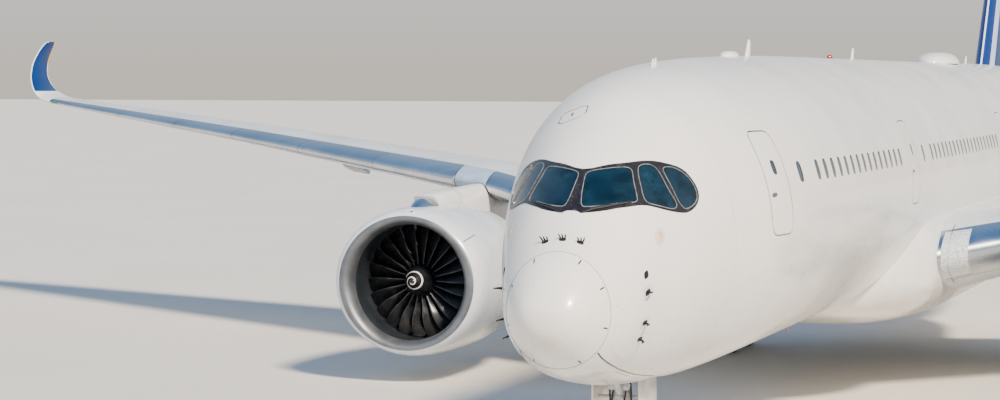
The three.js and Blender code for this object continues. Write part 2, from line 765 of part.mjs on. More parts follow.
// A cargo door on the starboard side, hinged at its head, with the hold behind it
function makeCargoDoor([name, front, back, sill, head]) {
  const outside = hull(...holdStretch);
  const shell = outside.subtract(hull(...holdStretch, -cargoSkin));
  const door = shell.intersect(block(-4, -1.5, front, back, sill, head));
  const hinge = [front, back].map((aft) => [-sideOf(outside, aft, head) - pin.proud, aft, head]);
  const inside = holdDepth - sideOf(outside, front, head);
  const hold = block(-4, inside, front - run, back + run, sill - run, head + headGap);
  return { name, door: door.add(endPins(hinge, pin.radius)), hold };
}

function makeFuselage() {
  const pieces = {};
  const [noseCut, noseDoor] = makeNoseBay();
  const { front, back, inner, outer, roof, skin } = mainBay;
  const bay = block(inner - run, outer + run, front - run, back + run, 0, roof);
  const bays = bay.add(mirrored(bay));
  const fairing = fairingLoft(0);
  const pad = bar([0, jackPad.nose[1], 2.8], jackPad.nose, jackPad.radius);
  const holds = cargoDoors.map(makeCargoDoor);
  pieces.radome = hull(0, radomeJoint);
  pieces.cockpit_section = hull(radomeJoint + seat, cockpitJoint).subtract(noseCut).add(pad);
  pieces.cockpit_windows = makeCockpitWindows();
  pieces.forward_fuselage = hull(cockpitJoint + seat, wingBoxJoint).subtract(holds[0].hold);
  pieces.centre_fuselage = hull(wingBoxJoint + seat, aftJoint).subtract(bays);
  pieces.rear_fuselage = hull(aftJoint + seat, tailConeJoint).subtract(holds[1].hold);
  pieces.tail_cone = hull(tailConeJoint + seat, overallLength);
  pieces.belly_fairing = fairing.subtract(fairedHull()).subtract(bays);
  for (const { name, door } of holds) pieces[name] = door;
  const lowSkin = fairing.subtract(moved(fairing, 0, 0, skin));
  const hinge = [front, back].map((aft) => [inner, aft, mainBay.hinge]);
  const mainDoor = lowSkin.intersect(block(inner, outer, front, back, 0, 2.6));
  return { pieces, noseDoor, mainDoor: mainDoor.add(endPins(hinge, pin.radius)) };
}

// The stretch of fuselage that carries the tail surfaces
const rearHull = () => hull(47.5, overallLength, seat);

// Fin and rudder, lofted lying down with height along x and then stood up
function makeFin() {
  const sections = finTable.map(([z, aft, chord, thickness]) => [z, aft, 0, chord, thickness, 0]);
  const whole = loft(sections.map((row) => wingRing(row, 0, 0)));
  const ends = edgeEnds(rudderEdge, () => 0);
  const [rudder, fin] = splitAtHinge(whole, ends, rudderEdge[4], rudderNose);
  return { rudder: upright(rudder), fin: upright(fin).subtract(rearHull()) };
}

function makeTailplane() {
  const whole = loft(tailplaneTable.map((row) => wingRing(row, 0, 0)));
  const ends = edgeEnds(elevatorEdge, (x, aft) => midHeight(tailplaneTable, 0, x, aft));
  const [elevator, rest] = splitAtHinge(whole, ends, elevatorEdge[4], elevatorNose);
  return { elevator, tailplane: rest.subtract(rearHull()) };
}

// Engine pieces turn round the axis through its centre, measured aft from the highlight
const aftward = new THREE.Vector3(0, 1, 0);
const engineTurned = (profile) =>
  turned(profile, [engine.x, engine.highlight, engine.z], aftward, engine.sides);

function radiusAt(profile, along) {
  let i = 0;
  while (i < profile.length - 2 && along > profile[i + 1][0]) i++;
  const t = (along - profile[i][0]) / (profile[i + 1][0] - profile[i][0]);
  return profile[i][1] + t * (profile[i + 1][1] - profile[i][1]);
}

function cowl(from, to, inner) {
  const between = nacelleOuter.filter(([along]) => along > from && along < to);
  const ends = [from, to].map((along) => [along, radiusAt(nacelleOuter, along)]);
  const outline = [ends[0], ...between, ends[1], ...inner.slice().reverse()];
  return engineTurned([...outline, outline[0]]);
}

function makeFan() {
  const bore = shaft.radius + shaft.clearance;
  const hub = engineTurned([...fanHub, [1.55, bore], [shaft.front, bore], [shaft.front, 0]]);
  const blade = (turn) => {
    const rings = fanTwist.map(([share, degrees]) => {
      const radius = fan.rootRadius + share * (fan.tip - fan.rootRadius);
      const pitch = THREE.MathUtils.degToRad(degrees);
      const chord = [Math.sin(pitch), Math.cos(pitch)].map((value) => (value * fan.chord) / 2);
      const side = [Math.cos(pitch), -Math.sin(pitch)].map((value) => (value * fan.thickness) / 2);
      const corners = [[1, 1], [1, -1], [-1, -1], [-1, 1]];
      return corners.map(([c, s]) => {
        const around = c * chord[0] + s * side[0];
        const along = fan.front + fan.chord / 4 + c * chord[1] + s * side[1];
        return new THREE.Vector3(around, along, radius).multiplyScalar(metre);
      });
    });
    const centre = place(engine.x, engine.highlight, engine.z);
    const shape = geometryOf(loft(rings)).rotateY(turn).translate(centre.x, centre.y, centre.z);
    return solidOf(shape);
  };
  const turns = Array.from({ length: engine.blades }, (_, i) => (i / engine.blades) * 2 * Math.PI);
  return unite([hub, ...turns.map(blade)]);
}

// Core with the guide vanes that carry it inside the fan duct
function makeCore() {
  const core = engineTurned(coreProfile);
  const { x, z, highlight } = engine;
  const blades = Array.from({ length: vanes.count }, (_, i) => {
    const angle = (i / vanes.count) * 2 * Math.PI;
    const reach = (radius) => [x + radius * Math.cos(angle), z + radius * Math.sin(angle)];
    const [x1, z1] = reach(vanes.root);
    const [x2, z2] = reach(ductRadius + vanes.past);
    const shape = new THREE.BoxGeometry(
      (ductRadius + vanes.past - vanes.root) * metre,
      (vanes.back - vanes.front) * metre,
      vanes.thickness * metre,
    );
    const centre = place((x1 + x2) / 2, highlight + (vanes.front + vanes.back) / 2, (z1 + z2) / 2);
    return solidOf(shape.rotateY(-angle).translate(centre.x, centre.y, centre.z));
  });
  const duct = [cowlJoint, sleeveJoint].flatMap((along, i) => {
    const pair = [[along, 0], [along, ductRadius - seat]];
    return i ? pair.reverse() : pair;
  });
  const inDuct = engineTurned(duct);
  return unite([core, unite(blades).intersect(inDuct)]);
}

function makePylon() {
  const outline = new THREE.Shape(
    pylonSide.map(([along, z]) => {
      const { y, z: height } = place(0, engine.highlight + along, z);
      return new THREE.Vector2(y, height);
    }),
  );
  const width = 2 * pylonHalfWidth * metre;
  const side = new THREE.ExtrudeGeometry(outline, { depth: width, bevelEnabled: false });
  side.translate(0, 0, -width / 2);
  const axes = [new THREE.Vector3(0, 1, 0), new THREE.Vector3(0, 0, 1), new THREE.Vector3(1, 0, 0)];
  side.applyMatrix4(new THREE.Matrix4().makeBasis(...axes));
  return solidOf(side.translate(engine.x * metre, 0, 0));
}

function makeEngine(wing) {
  const pieces = {};
  const { front, back, bottom, top } = pylonRoom;
  const cut = (gap) => {
    const half = pylonHalfWidth + gap;
    const lead = engine.highlight + front;
    return block(engine.x - half, engine.x + half, lead, engine.highlight + back, bottom, top);
  };
  const fanCase = [
    [cowlJoint + seat, ductRadius],
    [cascade.back, ductRadius],
    [cascade.back, cascade.radius],
    [sleeveJoint, cascade.radius],
  ];
  const sleeve = [[sleeveJoint + run, cascade.radius + slip], ...sleeveInner];
  pieces.inlet_cowl = cowl(0, cowlJoint, [...inletInner, [cowlJoint, ductRadius]]);
  pieces.fan_cowl = cowl(cowlJoint + seat, sleeveJoint, fanCase).subtract(cut(seat));
  const sleeveEnd = nacelleOuter.at(-1)[0];
  pieces.reverser_sleeve = cowl(sleeveJoint + run, sleeveEnd, sleeve).subtract(cut(run));
  pieces.fan = makeFan();
  pieces.engine_core = makeCore();
  const coreRoom = engineTurned(coreProfile.map(([along, radius]) => [along, radius + (radius ? seat : 0)]));
  pieces.pylon = makePylon().subtract(coreRoom).subtract(wing);
  return pieces;
}

// A pair of tyres with their hubs on one axle, turned round x; they stand on a flat of their facets
function wheelPair({ x, tyre: height, width, spread, axle }, aft) {
  const tyre = height / Math.cos(Math.PI / tyreSides);
  const profile = wheelProfile.map(([along, radius]) => [(along * width) / 2, radius * tyre]);
  const across = new THREE.Vector3(1, 0, 0);
  const tyres = [-spread, spread].map((offset) =>
    turned(profile, [x + offset, aft, height], across, tyreSides, Math.PI / tyreSides),
  );
  const rod = bar([x - spread, aft, height], [x + spread, aft, height], axle, axle, roundSides);
  return unite([...tyres, rod]);
}

// The struts and plates of one leg, joined
function legFrame(struts, plates, { x, aft }) {
  const bars = struts.map(([x1, aft1, z1, x2, aft2, z2, radius1, radius2, sides]) =>
    bar([x + x1, aft + aft1, z1], [x + x2, aft + aft2, z2], radius1, radius2, sides),
  );
  const blocks = plates.map(([x1, x2, aft1, aft2, z1, z2]) =>
    block(x + x1, x + x2, aft + aft1, aft + aft2, z1, z2),
  );
  return unite([...bars, ...blocks]);
}

// The hole that an axle turns in
function axleHole({ x, tyre, axle, spread }, aft) {
  const radius = axle + slip;
  return bar([x - spread, aft, tyre], [x + spread, aft, tyre], radius, radius, roundSides);
}

function makeNoseGear() {
  const { aft } = noseGear;
  const { front, back, roof } = noseBay;
  const { radius, bottom, top } = steeringSocket;
  const socket = bar([0, aft, bottom], [0, aft, top], radius + slip, radius + slip, roundSides);
  const inBay = block(-1, 1, front, back, 0, roof - seat);
  return {
    leg: legFrame(noseLegStruts, noseLegPlates, noseGear).intersect(inBay).subtract(socket),
    steering: legFrame(steeringStruts, steeringPlates, noseGear).subtract(axleHole(noseGear, aft)),
    wheels: wheelPair(noseGear, aft),
  };
}

function makeMainGear(wing) {
  const { aft, base } = mainGear;
  const axles = [aft - base / 2, aft + base / 2];
  const holes = axles.map((at) => axleHole(mainGear, at));
  const leg = legFrame(mainLegStruts, mainLegPlates, mainGear);
  return {
    leg: leg.subtract(wing).subtract(unite(holes)),
    front: wheelPair(mainGear, axles[0]),
    rear: wheelPair(mainGear, axles[1]),
  };
}

// Assembly
function mesh(name, solid, finish) {
  const shown = new THREE.Mesh(geometryOf(solid), finishes[finish]);
  shown.name = name;
  return shown;
}

const airliner = new THREE.Group();
const { pieces: fuselage, noseDoor, mainDoor } = makeFuselage();
for (const [name, solid] of Object.entries(fuselage)) {
  airliner.add(mesh(name, solid, name === "cockpit_windows" ? "darkMask" : "whitePaint"));
}
const body = fairingLoft(seat).add(fairedHull());
const wingWhole = loft(wingTable.map((row) => wingRing(row)));
const shifts = [[0, seat], [0, -seat], [-seat, 0]];
const wingRoom = unite(shifts.map(([aft, z]) => moved(wingWhole, 0, aft, z)));
const wing = makeWing(body);
const engines = makeEngine(wingRoom);
const mainGearSet = makeMainGear(wingRoom);
const { elevator, tailplane } = makeTailplane();
const { fin, rudder } = makeFin();
const noseGearSet = makeNoseGear();

airliner.add(mesh("fin", fin, "bluePaint"), mesh("rudder", rudder, "bluePaint"));
airliner.add(mesh("nose_gear_leg", noseGearSet.leg, "gearPaint"));
airliner.add(mesh("nose_gear_steering", noseGearSet.steering, "gearPaint"));
airliner.add(mesh("nose_wheels", noseGearSet.wheels, "tyreRubber"));

const sideFinish = {
  wing: "wingGrey",
  winglet: "bluePaint",
  slats: "bareMetal",
  droop_nose: "bareMetal",
  inlet_cowl: "bareMetal",
  engine_core: "coreMetal",
  fan: "fanBlack",
  main_gear_leg: "gearPaint",
  front_wheels: "tyreRubber",
  rear_wheels: "tyreRubber",
};
const oneSide = {
  ...wing,
  ...engines,
  tailplane,
  elevator,
  nose_gear_door: noseDoor,
  main_gear_door: mainDoor,
  main_gear_leg: mainGearSet.leg,
  front_wheels: mainGearSet.front,
  rear_wheels: mainGearSet.rear,
};
for (const [side, mirror] of [["left", 1], ["right", -1]]) {
  const half = new THREE.Group();
  half.scale.x = mirror;
  for (const [name, solid] of Object.entries(oneSide)) {
    half.add(mesh(`${side}_${name}`, solid, sideFinish[name] ?? "whitePaint"));
  }
  airliner.add(half);
}

export default airliner;
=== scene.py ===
import json
import math
import time

import bmesh
import bpy
import numpy as np
from mathutils import Matrix, Vector

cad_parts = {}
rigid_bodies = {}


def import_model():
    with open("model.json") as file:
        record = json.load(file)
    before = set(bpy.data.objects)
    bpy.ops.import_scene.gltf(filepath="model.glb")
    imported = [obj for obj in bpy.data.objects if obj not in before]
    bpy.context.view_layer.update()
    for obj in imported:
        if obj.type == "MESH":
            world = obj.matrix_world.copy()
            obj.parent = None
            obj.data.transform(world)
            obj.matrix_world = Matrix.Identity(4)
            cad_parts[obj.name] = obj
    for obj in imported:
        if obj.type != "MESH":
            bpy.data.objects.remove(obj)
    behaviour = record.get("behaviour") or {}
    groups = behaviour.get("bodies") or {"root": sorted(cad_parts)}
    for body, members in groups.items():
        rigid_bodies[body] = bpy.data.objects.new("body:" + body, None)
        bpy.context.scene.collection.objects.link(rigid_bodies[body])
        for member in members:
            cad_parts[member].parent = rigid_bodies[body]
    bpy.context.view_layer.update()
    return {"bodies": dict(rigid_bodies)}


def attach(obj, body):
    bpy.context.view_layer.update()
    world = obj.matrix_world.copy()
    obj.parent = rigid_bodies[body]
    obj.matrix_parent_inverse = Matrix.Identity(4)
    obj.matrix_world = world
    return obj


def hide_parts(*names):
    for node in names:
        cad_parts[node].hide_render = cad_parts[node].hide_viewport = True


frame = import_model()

startTime = time.time()

# Sizes are in real metres: x from the centreline, aft from the nose tip, z from the ground.
# The model is half that size, with its middle at the origin.
scaleOf = {"model": 0.5, "length": 66.8}


def report(stage):
    print(f"airliner: {stage}, {time.time() - startTime:.0f} s")


def place(x, aft, z):
    return Vector((x, aft - scaleOf["length"] / 2, z)) * scaleOf["model"]


def mm(value):  # real millimetres to model metres
    return value * 0.001 * scaleOf["model"]


# colour and nodes
def colour(text):
    channels = [int(text[i : i + 2], 16) / 255 for i in (1, 3, 5)]
    linear = [c / 12.92 if c <= 0.04045 else ((c + 0.055) / 1.055) ** 2.4 for c in channels]
    return (*linear, 1)


def addNode(tree, kind, settings=None, links=None, out=0):  # gives the node's output socket
    node = tree.nodes.new(kind)
    for key, value in (settings or {}).items():
        if key == "stops":
            elements = node.color_ramp.elements
            while len(elements) < len(value):
                elements.new(0.5)
            for element, (position, shade) in zip(elements, value):
                element.position = position
                element.color = shade if isinstance(shade, tuple) else (shade, shade, shade, 1)
        elif isinstance(key, str) and hasattr(node, key):
            setattr(node, key, value)
        else:
            node.inputs[key].default_value = value
    for key, source in (links or {}).items():
        tree.links.new(source, node.inputs[key])
    return node.outputs[out] if len(node.outputs) else node


def newMaterial(name, shader):
    material = bpy.data.materials.new(name)
    material.use_nodes = True
    tree = material.node_tree
    tree.nodes.clear()
    surface = addNode(tree, "ShaderNodeBsdfPrincipled", shader)
    addNode(tree, "ShaderNodeOutputMaterial", None, {"Surface": surface})
    where = addNode(tree, "ShaderNodeTexCoord", out=3)
    return material, tree, surface.node, where


def metre(value):  # pattern scale for a real size in metres on Object coordinates
    return 1 / (value * scaleOf["model"])


# meshes
def finished(name, bm, body="root", slot=None, materials=(), smooth=35, replaces=()):
    mesh = bpy.data.meshes.new(name)
    bm.to_mesh(mesh)
    bm.free()
    piece = bpy.data.objects.new(name, mesh)
    bpy.context.scene.collection.objects.link(piece)
    for material in materials:
        mesh.materials.append(material)
    mesh.polygons.foreach_set("use_smooth", [True] * len(mesh.polygons))
    mesh.set_sharp_from_angle(angle=math.radians(smooth))
    if body:
        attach(piece, body)
    if replaces:
        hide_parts(*replaces)
    return piece


def movingBody(name):
    return name if name in frame["bodies"] else "root"


# the piece that stands for a node and rides where it rides
def skinned(node, bm, slot, materials, smooth=30):
    finished(node + "_skin", bm, movingBody(node), slot, materials, smooth, [node])


def skinnedPair(name, bm, slot, materials, smooth=30):
    twin = mirroredBm(bm)
    skinned("left_" + name, bm, slot, materials, smooth)
    skinned("right_" + name, twin, slot, materials, smooth)


# a fitting that no node stands for
def fitted(name, bm, materials, slot, body="root", mirror=True, smooth=40):
    twin = mirroredBm(bm) if mirror else None
    for side, part in (("left_", bm), ("right_", twin)) if mirror else (("", bm),):
        finished(side + name, part, movingBody(side + body), slot, materials, smooth)


def outward(bm):
    bmesh.ops.recalc_face_normals(bm, faces=bm.faces)
    if bm.calc_volume(signed=True) < 0:
        bmesh.ops.reverse_faces(bm, faces=bm.faces)
    return bm


def sheetGrid(columns, rows, surface):  # a grid bent over surface(u, v), both from 0 to 1
    bm = bmesh.new()
    bmesh.ops.create_grid(bm, x_segments=columns, y_segments=rows, size=0.5)
    for vert in bm.verts:
        vert.co = surface(vert.co.x + 0.5, vert.co.y + 0.5)
    return bm


def closedGrid(columns, rows, surface):  # as sheetGrid, but its sides meet and its ends are capped
    bm = sheetGrid(columns, rows, surface)
    bmesh.ops.remove_doubles(bm, verts=bm.verts, dist=1e-5)
    bmesh.ops.holes_fill(bm, edges=[edge for edge in bm.edges if edge.is_boundary], sides=0)
    return outward(bm)


def boxBm(x1, x2, aft1, aft2, z1, z2):
    bm = bmesh.new()
    low, high = place(min(x1, x2), aft1, z1), place(max(x1, x2), aft2, z2)
    matrix = Matrix.Translation((low + high) / 2) @ Matrix.Diagonal((*(high - low), 1))
    bmesh.ops.create_cube(bm, size=1, matrix=matrix)
    return bm


def turned(spots, centre, axis, steps):  # a line of model places turned once round an axis
    bm = bmesh.new()
    verts = [bm.verts.new(spot) for spot in spots]
    edges = [bm.edges.new(pair) for pair in zip(verts, verts[1:])]
    bmesh.ops.spin(
        bm, geom=[*verts, *edges], cent=centre, axis=axis, angle=2 * math.pi, steps=steps, use_merge=True
    )
    bmesh.ops.remove_doubles(bm, verts=bm.verts, dist=1e-6)
    return outward(bm)


def painted(bm, index):
    for face in bm.faces:
        face.material_index = index
    return bm


def bevelled(bm, size, segments=2):
    bmesh.ops.bevel(
        bm, geom=bm.edges[:], offset=size * scaleOf["model"], offset_type="OFFSET", affect="EDGES",
        segments=segments, profile=0.5, material=-1,
    )
    return bm


def cutterObject(bm):
    mesh = bpy.data.meshes.new("cutter")
    bm.to_mesh(mesh)
    bm.free()
    cutter = bpy.data.objects.new("cutter", mesh)
    bpy.context.scene.collection.objects.link(cutter)
    return cutter


def carved(bm, steps):  # steps are pairs of operation and cutter bmesh
    piece = cutterObject(bm)
    cutters = [cutterObject(cutterBm) for _, cutterBm in steps]
    for (operation, _), cutter in zip(steps, cutters):
        modifier = piece.modifiers.new("cut", "BOOLEAN")
        modifier.operation, modifier.object, modifier.solver = operation, cutter, "MANIFOLD"
    view = bpy.context.evaluated_depsgraph_get()
    result = bmesh.new()
    result.from_mesh(piece.evaluated_get(view).to_mesh())
    for each in (piece, *cutters):
        old = each.data
        bpy.data.objects.remove(each)
        bpy.data.meshes.remove(old)
    return result


def cutAway(bm, *cutters):
    return carved(bm, [("DIFFERENCE", cutter) for cutter in cutters])


def keptIn(bm, *cutters):
    return carved(bm, [("INTERSECT", cutter) for cutter in cutters])


def mirroredBm(bm):  # the starboard twin of a port piece
    twin = bm.copy()
    bmesh.ops.scale(twin, vec=(-1, 1, 1), verts=twin.verts)
    bmesh.ops.reverse_faces(twin, faces=twin.faces)
    return twin


# fuselage shape
hullTable = np.array([
    # aft, top, bottom, half width, widest height
    [0.0, 3.97, 3.97, 0.0, 3.97],
    [0.06, 4.17, 3.65, 0.35, 3.95],
    [0.25, 4.48, 3.38, 0.59, 3.94],
    [0.71, 4.92, 3.02, 0.89, 3.94],
    [1.3, 5.37, 2.76, 1.16, 4.01],
    [2.1, 6.14, 2.6, 1.42, 4.26],
    [3.2, 7.0, 2.44, 1.79, 4.57],
    [4.6, 7.72, 2.33, 2.18, 4.87],
    [6.4, 8.09, 2.27, 2.62, 5.07],
    [8.6, 8.25, 2.28, 2.86, 5.2],
    [12.0, 8.35, 2.3, 2.96, 5.33],
    [18.0, 8.41, 2.32, 2.98, 5.36],
    [43.5, 8.41, 2.32, 2.98, 5.36],
    [47.5, 8.42, 2.72, 2.9, 5.5],
    [52.0, 8.42, 3.72, 2.55, 5.95],
    [57.0, 8.36, 4.98, 1.93, 6.55],
    [61.5, 8.14, 6.05, 1.2, 7.05],
    [65.0, 7.85, 6.8, 0.58, 7.32],
    [66.8, 7.62, 7.1, 0.26, 7.36],
])


def monotone(knots, values, at):  # cubic interpolation that never overshoots the table
    step = np.diff(knots)
    chord = np.diff(values) / step
    slope = np.empty_like(values)
    slope[0], slope[-1] = chord[0], chord[-1]
    product = chord[:-1] * chord[1:]
    total = np.where(product > 0, chord[:-1] + chord[1:], 1)
    slope[1:-1] = np.where(product > 0, 2 * product / total, 0)
    i = np.clip(np.searchsorted(knots, at) - 1, 0, len(step) - 1)
    t = (at - knots[i]) / step[i]
    bend = t * t * (3 - 2 * t)
    rise = t * (1 - t) * (1 - t) * step[i] * slope[i]
    fall = t * t * (t - 1) * step[i] * slope[i + 1]
    return values[i] + (values[i + 1] - values[i]) * bend + rise + fall


def softened(values, passes):  # evens out the bends between the table's rows
    for _ in range(passes):
        middle = (values[:-2] + 2 * values[1:-1] + values[2:]) / 4
        values = np.concatenate([values[:1], middle, values[-1:]])
    return values


rootKnots = np.sqrt(hullTable[:, 0])
fineKnots = np.linspace(0, rootKnots[-1], 900)
fineHull = [softened(monotone(rootKnots, hullTable[:, k], fineKnots), 60) for k in range(1, 5)]


def hullAt(aft):
    key = math.sqrt(max(aft, 0))
    return [float(np.interp(key, fineKnots, column)) for column in fineHull]


def hullPoint(aft, angle, grow=0.0):  # angle from the crown, towards port
    top, bottom, half, widest = hullAt(aft)
    up = math.cos(angle)
    height = (top - widest) if up > 0 else (widest - bottom)
    return place((half + grow) * math.sin(angle), aft, widest + (height + grow) * up)


def hullStations(start, end, step):
    # even steps along the body, finer where the nose is blunt
    first, last = math.sqrt(start), math.sqrt(end)
    count = max(2, math.ceil((end - start) / step), math.ceil((last - first) / 0.035))
    even = [start + (end - start) * i / count for i in range(count + 1)]
    blunt = [(first + (last - first) * i / count) ** 2 for i in range(count + 1)]
    return blunt if start < 4 else even


def hullBm(start, end, grow=0.0, step=0.35, around=144):
    stations = hullStations(start, end, step)
    rows = len(stations) - 1

    def surface(u, v):
        return hullPoint(stations[round(v * rows)], 2 * math.pi * u, grow)

    return closedGrid(around, rows, surface)


def tubeBm(points, radius, sides=12, ends=(1, 1)):  # a round tube along a line; ends scale its radius
    spots = [place(*p) for p in points]
    last = len(spots) - 1
    ahead = [(spots[min(i + 1, last)] - spots[max(i - 1, 0)]).normalized() for i in range(last + 1)]
    side = ahead[0].orthogonal().normalized()
    frames = []
    for direction in ahead:
        side = (side - direction * side.dot(direction)).normalized()
        frames.append((side.copy(), direction.cross(side)))

    def surface(u, v):
        i = round(v * last)
        across, over = frames[i]
        size = radius * scaleOf["model"] * (ends[0] + (ends[1] - ends[0]) * v)
        angle = 2 * math.pi * u
        return spots[i] + (across * math.cos(angle) + over * math.sin(angle)) * size

    return closedGrid(sides, last, surface)


def curved(points, steps=8):  # a smooth line through a few places
    points = np.array(points, dtype=float)
    knots = np.arange(len(points), dtype=float)
    spots = np.linspace(0, len(points) - 1, (len(points) - 1) * steps + 1)
    return np.column_stack([monotone(knots, points[:, k], spots) for k in range(3)])


# finishes

# a shade over the base, where the strength and the mask let it
def laidOver(tree, base, shade, strength, mask=None):
    if mask:
        strength = addNode(tree, "ShaderNodeMath", {"operation": "MULTIPLY"}, {0: strength, 1: mask})
    mix = {"data_type": "RGBA", 7: colour(shade)}
    return addNode(tree, "ShaderNodeMix", mix, {0: strength, 6: base}, out=2)


def toned(tree, where, size, dark, light, detail=5, stretch=(1, 1, 1)):  # cloudy drift between two shades
    spot = addNode(tree, "ShaderNodeMapping", {"Scale": stretch}, {"Vector": where})
    cloud = addNode(tree, "ShaderNodeTexNoise", {"Scale": metre(size), "Detail": detail}, {"Vector": spot})
    stops = [(0.3, colour(dark)), (0.7, colour(light))]
    return addNode(tree, "ShaderNodeValToRGB", {"stops": stops}, {"Fac": cloud})


# patches of a shade laid over the base: dirt in most finishes, painted shade and painted reflection in a few
def patchedDirtAndShade(tree, where, base, mask, size, shade, amount, stretch=(1, 1, 1), edge=(0.52, 0.75)):
    spot = addNode(tree, "ShaderNodeMapping", {"Scale": stretch}, {"Vector": where})
    settings = {"Scale": metre(size), "Detail": 7, "Roughness": 0.62}
    cloud = addNode(tree, "ShaderNodeTexNoise", settings, {"Vector": spot})
    stops = [(edge[0], 0.0), (edge[1], amount)]
    strength = addNode(tree, "ShaderNodeValToRGB", {"stops": stops}, {"Fac": cloud})
    return laidOver(tree, base, shade, strength, mask)


def speckled(tree, where, base, spacing, radius, shade, amount):  # scattered chips and fly marks
    dots = addNode(tree, "ShaderNodeTexVoronoi", {"Scale": metre(spacing)}, {"Vector": where})
    size = radius / spacing
    near = {"stops": [(size * 0.6, amount), (size, 0.0)]}
    return laidOver(tree, base, shade, addNode(tree, "ShaderNodeValToRGB", near, {"Fac": dots}))


def seamed(tree, where, base, axis, spots, width, shade, share):  # thin joint lines across one axis
    value = addNode(tree, "ShaderNodeSeparateXYZ", None, {"Vector": where}, out=axis)
    total = None
    for spot in spots:
        inside = {"operation": "COMPARE", 1: spot, 2: mm(width) / 2}
        near = addNode(tree, "ShaderNodeMath", inside, {0: value})
        links = {0: near, 1: total}
        total = addNode(tree, "ShaderNodeMath", {"operation": "MAXIMUM"}, links) if total else near
    faint = addNode(tree, "ShaderNodeMath", {"operation": "MULTIPLY", 1: share}, {0: total})
    return laidOver(tree, base, shade, faint)


# one shade where a value lies between two limits
def striped(tree, where, base, source, low, high, shade, above):
    height = value = addNode(tree, "ShaderNodeSeparateXYZ", None, {"Vector": where}, out=2)
    if source < 2:
        edges = addNode(tree, "ShaderNodeUVMap", {"uv_map": "edges"})
        value = addNode(tree, "ShaderNodeSeparateXYZ", None, {"Vector": edges}, out=source)
    inside = {"operation": "COMPARE", 1: (low + high) / 2, 2: (high - low) / 2}
    limits = {"operation": "GREATER_THAN", 1: above * scaleOf["model"]}
    strength = addNode(tree, "ShaderNodeMath", inside, {0: value})
    return laidOver(tree, base, shade, strength, addNode(tree, "ShaderNodeMath", limits, {0: height}))


def lowDown(tree, where, high, low):  # 0 above one real height, 1 below another
    height = addNode(tree, "ShaderNodeSeparateXYZ", None, {"Vector": where}, out=2)
    ends = {1: high * scaleOf["model"], 2: low * scaleOf["model"], 3: 0.0, 4: 1.0}
    return addNode(tree, "ShaderNodeMapRange", ends, {0: height})


# the slight waves of sprayed paint or cast rubber
def orangePeel(tree, surface, where, size, strength, height):
    cloud = addNode(tree, "ShaderNodeTexNoise", {"Scale": metre(size), "Detail": 3}, {"Vector": where})
    settings = {"Strength": strength, "Distance": mm(height)}
    normal = addNode(tree, "ShaderNodeBump", settings, {"Height": cloud})
    tree.links.new(normal, surface.inputs["Normal"])


def perforated(tree, surface, where, spacing, depth):  # rows of small holes
    holes = addNode(tree, "ShaderNodeTexVoronoi", {"Scale": metre(spacing)}, {"Vector": where})
    level = addNode(tree, "ShaderNodeValToRGB", {"stops": [(0.25, 0.0), (0.4, 1.0)]}, {"Fac": holes})
    normal = addNode(tree, "ShaderNodeBump", {"Strength": 0.5, "Distance": mm(depth)}, {"Height": level})
    tree.links.new(normal, surface.inputs["Normal"])


def worn(tree, surface, where, size, low, high):  # roughness that drifts from patch to patch
    cloud = addNode(tree, "ShaderNodeTexNoise", {"Scale": metre(size), "Detail": 5}, {"Vector": where})
    rough = addNode(tree, "ShaderNodeValToRGB", {"stops": [(0.35, low), (0.7, high)]}, {"Fac": cloud})
    tree.links.new(rough, surface.inputs["Roughness"])


# One recipe for every finish. Pattern sizes are real metres, joint widths and bump heights real millimetres.
# tones: size, dark, light, detail, stretch. patches of dirt and painted shade: size, shade, amount, stretch,
# edge of the patches.
# chips: spacing, radius, shade, amount. seams: axis, places, width, shade, share. wear: size, low, high.
# low: the patches fade in between these two heights. peel: size, strength, height. holes: spacing, depth.
# stripes: 0 front or 1 rear edge distance or 2 height, from, to, shade, only above this height.
def finish(
    name, shader, tones, dirtAndShadePatches=(), low=None, chips=None, seams=None, stripes=(), wear=None,
    peel=None, holes=None,
):
    material, tree, surface, where = newMaterial(name, shader)
    base = toned(tree, where, *tones)
    mask = lowDown(tree, where, *low) if low else None
    for blotch in dirtAndShadePatches:
        base = patchedDirtAndShade(tree, where, base, mask, *blotch)
    patterns = [(speckled, chips), (seamed, seams), *[(striped, stripe) for stripe in stripes]]
    for addPattern, settings in patterns:
        base = addPattern(tree, where, base, *settings) if settings else base
    tree.links.new(base, surface.inputs["Base Color"])
    for addRelief, settings in ((worn, wear), (orangePeel, peel), (perforated, holes)):
        if settings:
            addRelief(tree, surface, where, *settings)
    return material


# polyurethane topcoat sprayed on composite: warm white, glossy, with tan clouds low down that are road dust
# and a painted warm reflection of the ground, and faint skin joints
skinJoints = (4.62, 11.9, 21.4, 27.3, 36.0, 40.9, 47.2, 55.6)
whitePaint = finish(
    "glossWhitePolyurethane", {"Roughness": 0.28, "IOR": 1.5, "Coat Weight": 0.4, "Coat Roughness": 0.1},
    (4, "#EBE7E0", "#F4F1EC"), low=(4.6, 2.6), chips=(0.35, 0.016, "#6B6358", 0.75),
    dirtAndShadePatches=[
        (1.1, "#C9B694", 0.5, (1, 0.25, 1), (0.45, 0.72)),
        (0.25, "#A39274", 0.4, (3, 0.4, 0.6), (0.58, 0.74)),
    ],
    seams=(1, [place(0, aft, 0).y for aft in skinJoints], 14, "#8E8A83", 0.35),
    wear=(1.5, 0.22, 0.36), peel=(0.9, 0.12, 6),
)
# the same topcoat on the cowls, painted cooler and greyer as a painted shade with a painted blue sky
# reflection, with faint soot low down
nacellePaint = finish(
    "glossWhiteCowlPaint", {"Roughness": 0.3, "IOR": 1.5, "Coat Weight": 0.4, "Coat Roughness": 0.12},
    (1.2, "#CDD2D6", "#DEE2E5"), [(0.5, "#A8A39A", 0.35, (1, 0.2, 1), (0.5, 0.74))], low=(3.4, 1.2),
    chips=(0.3, 0.012, "#77736C", 0.6), wear=(0.8, 0.24, 0.4),
)
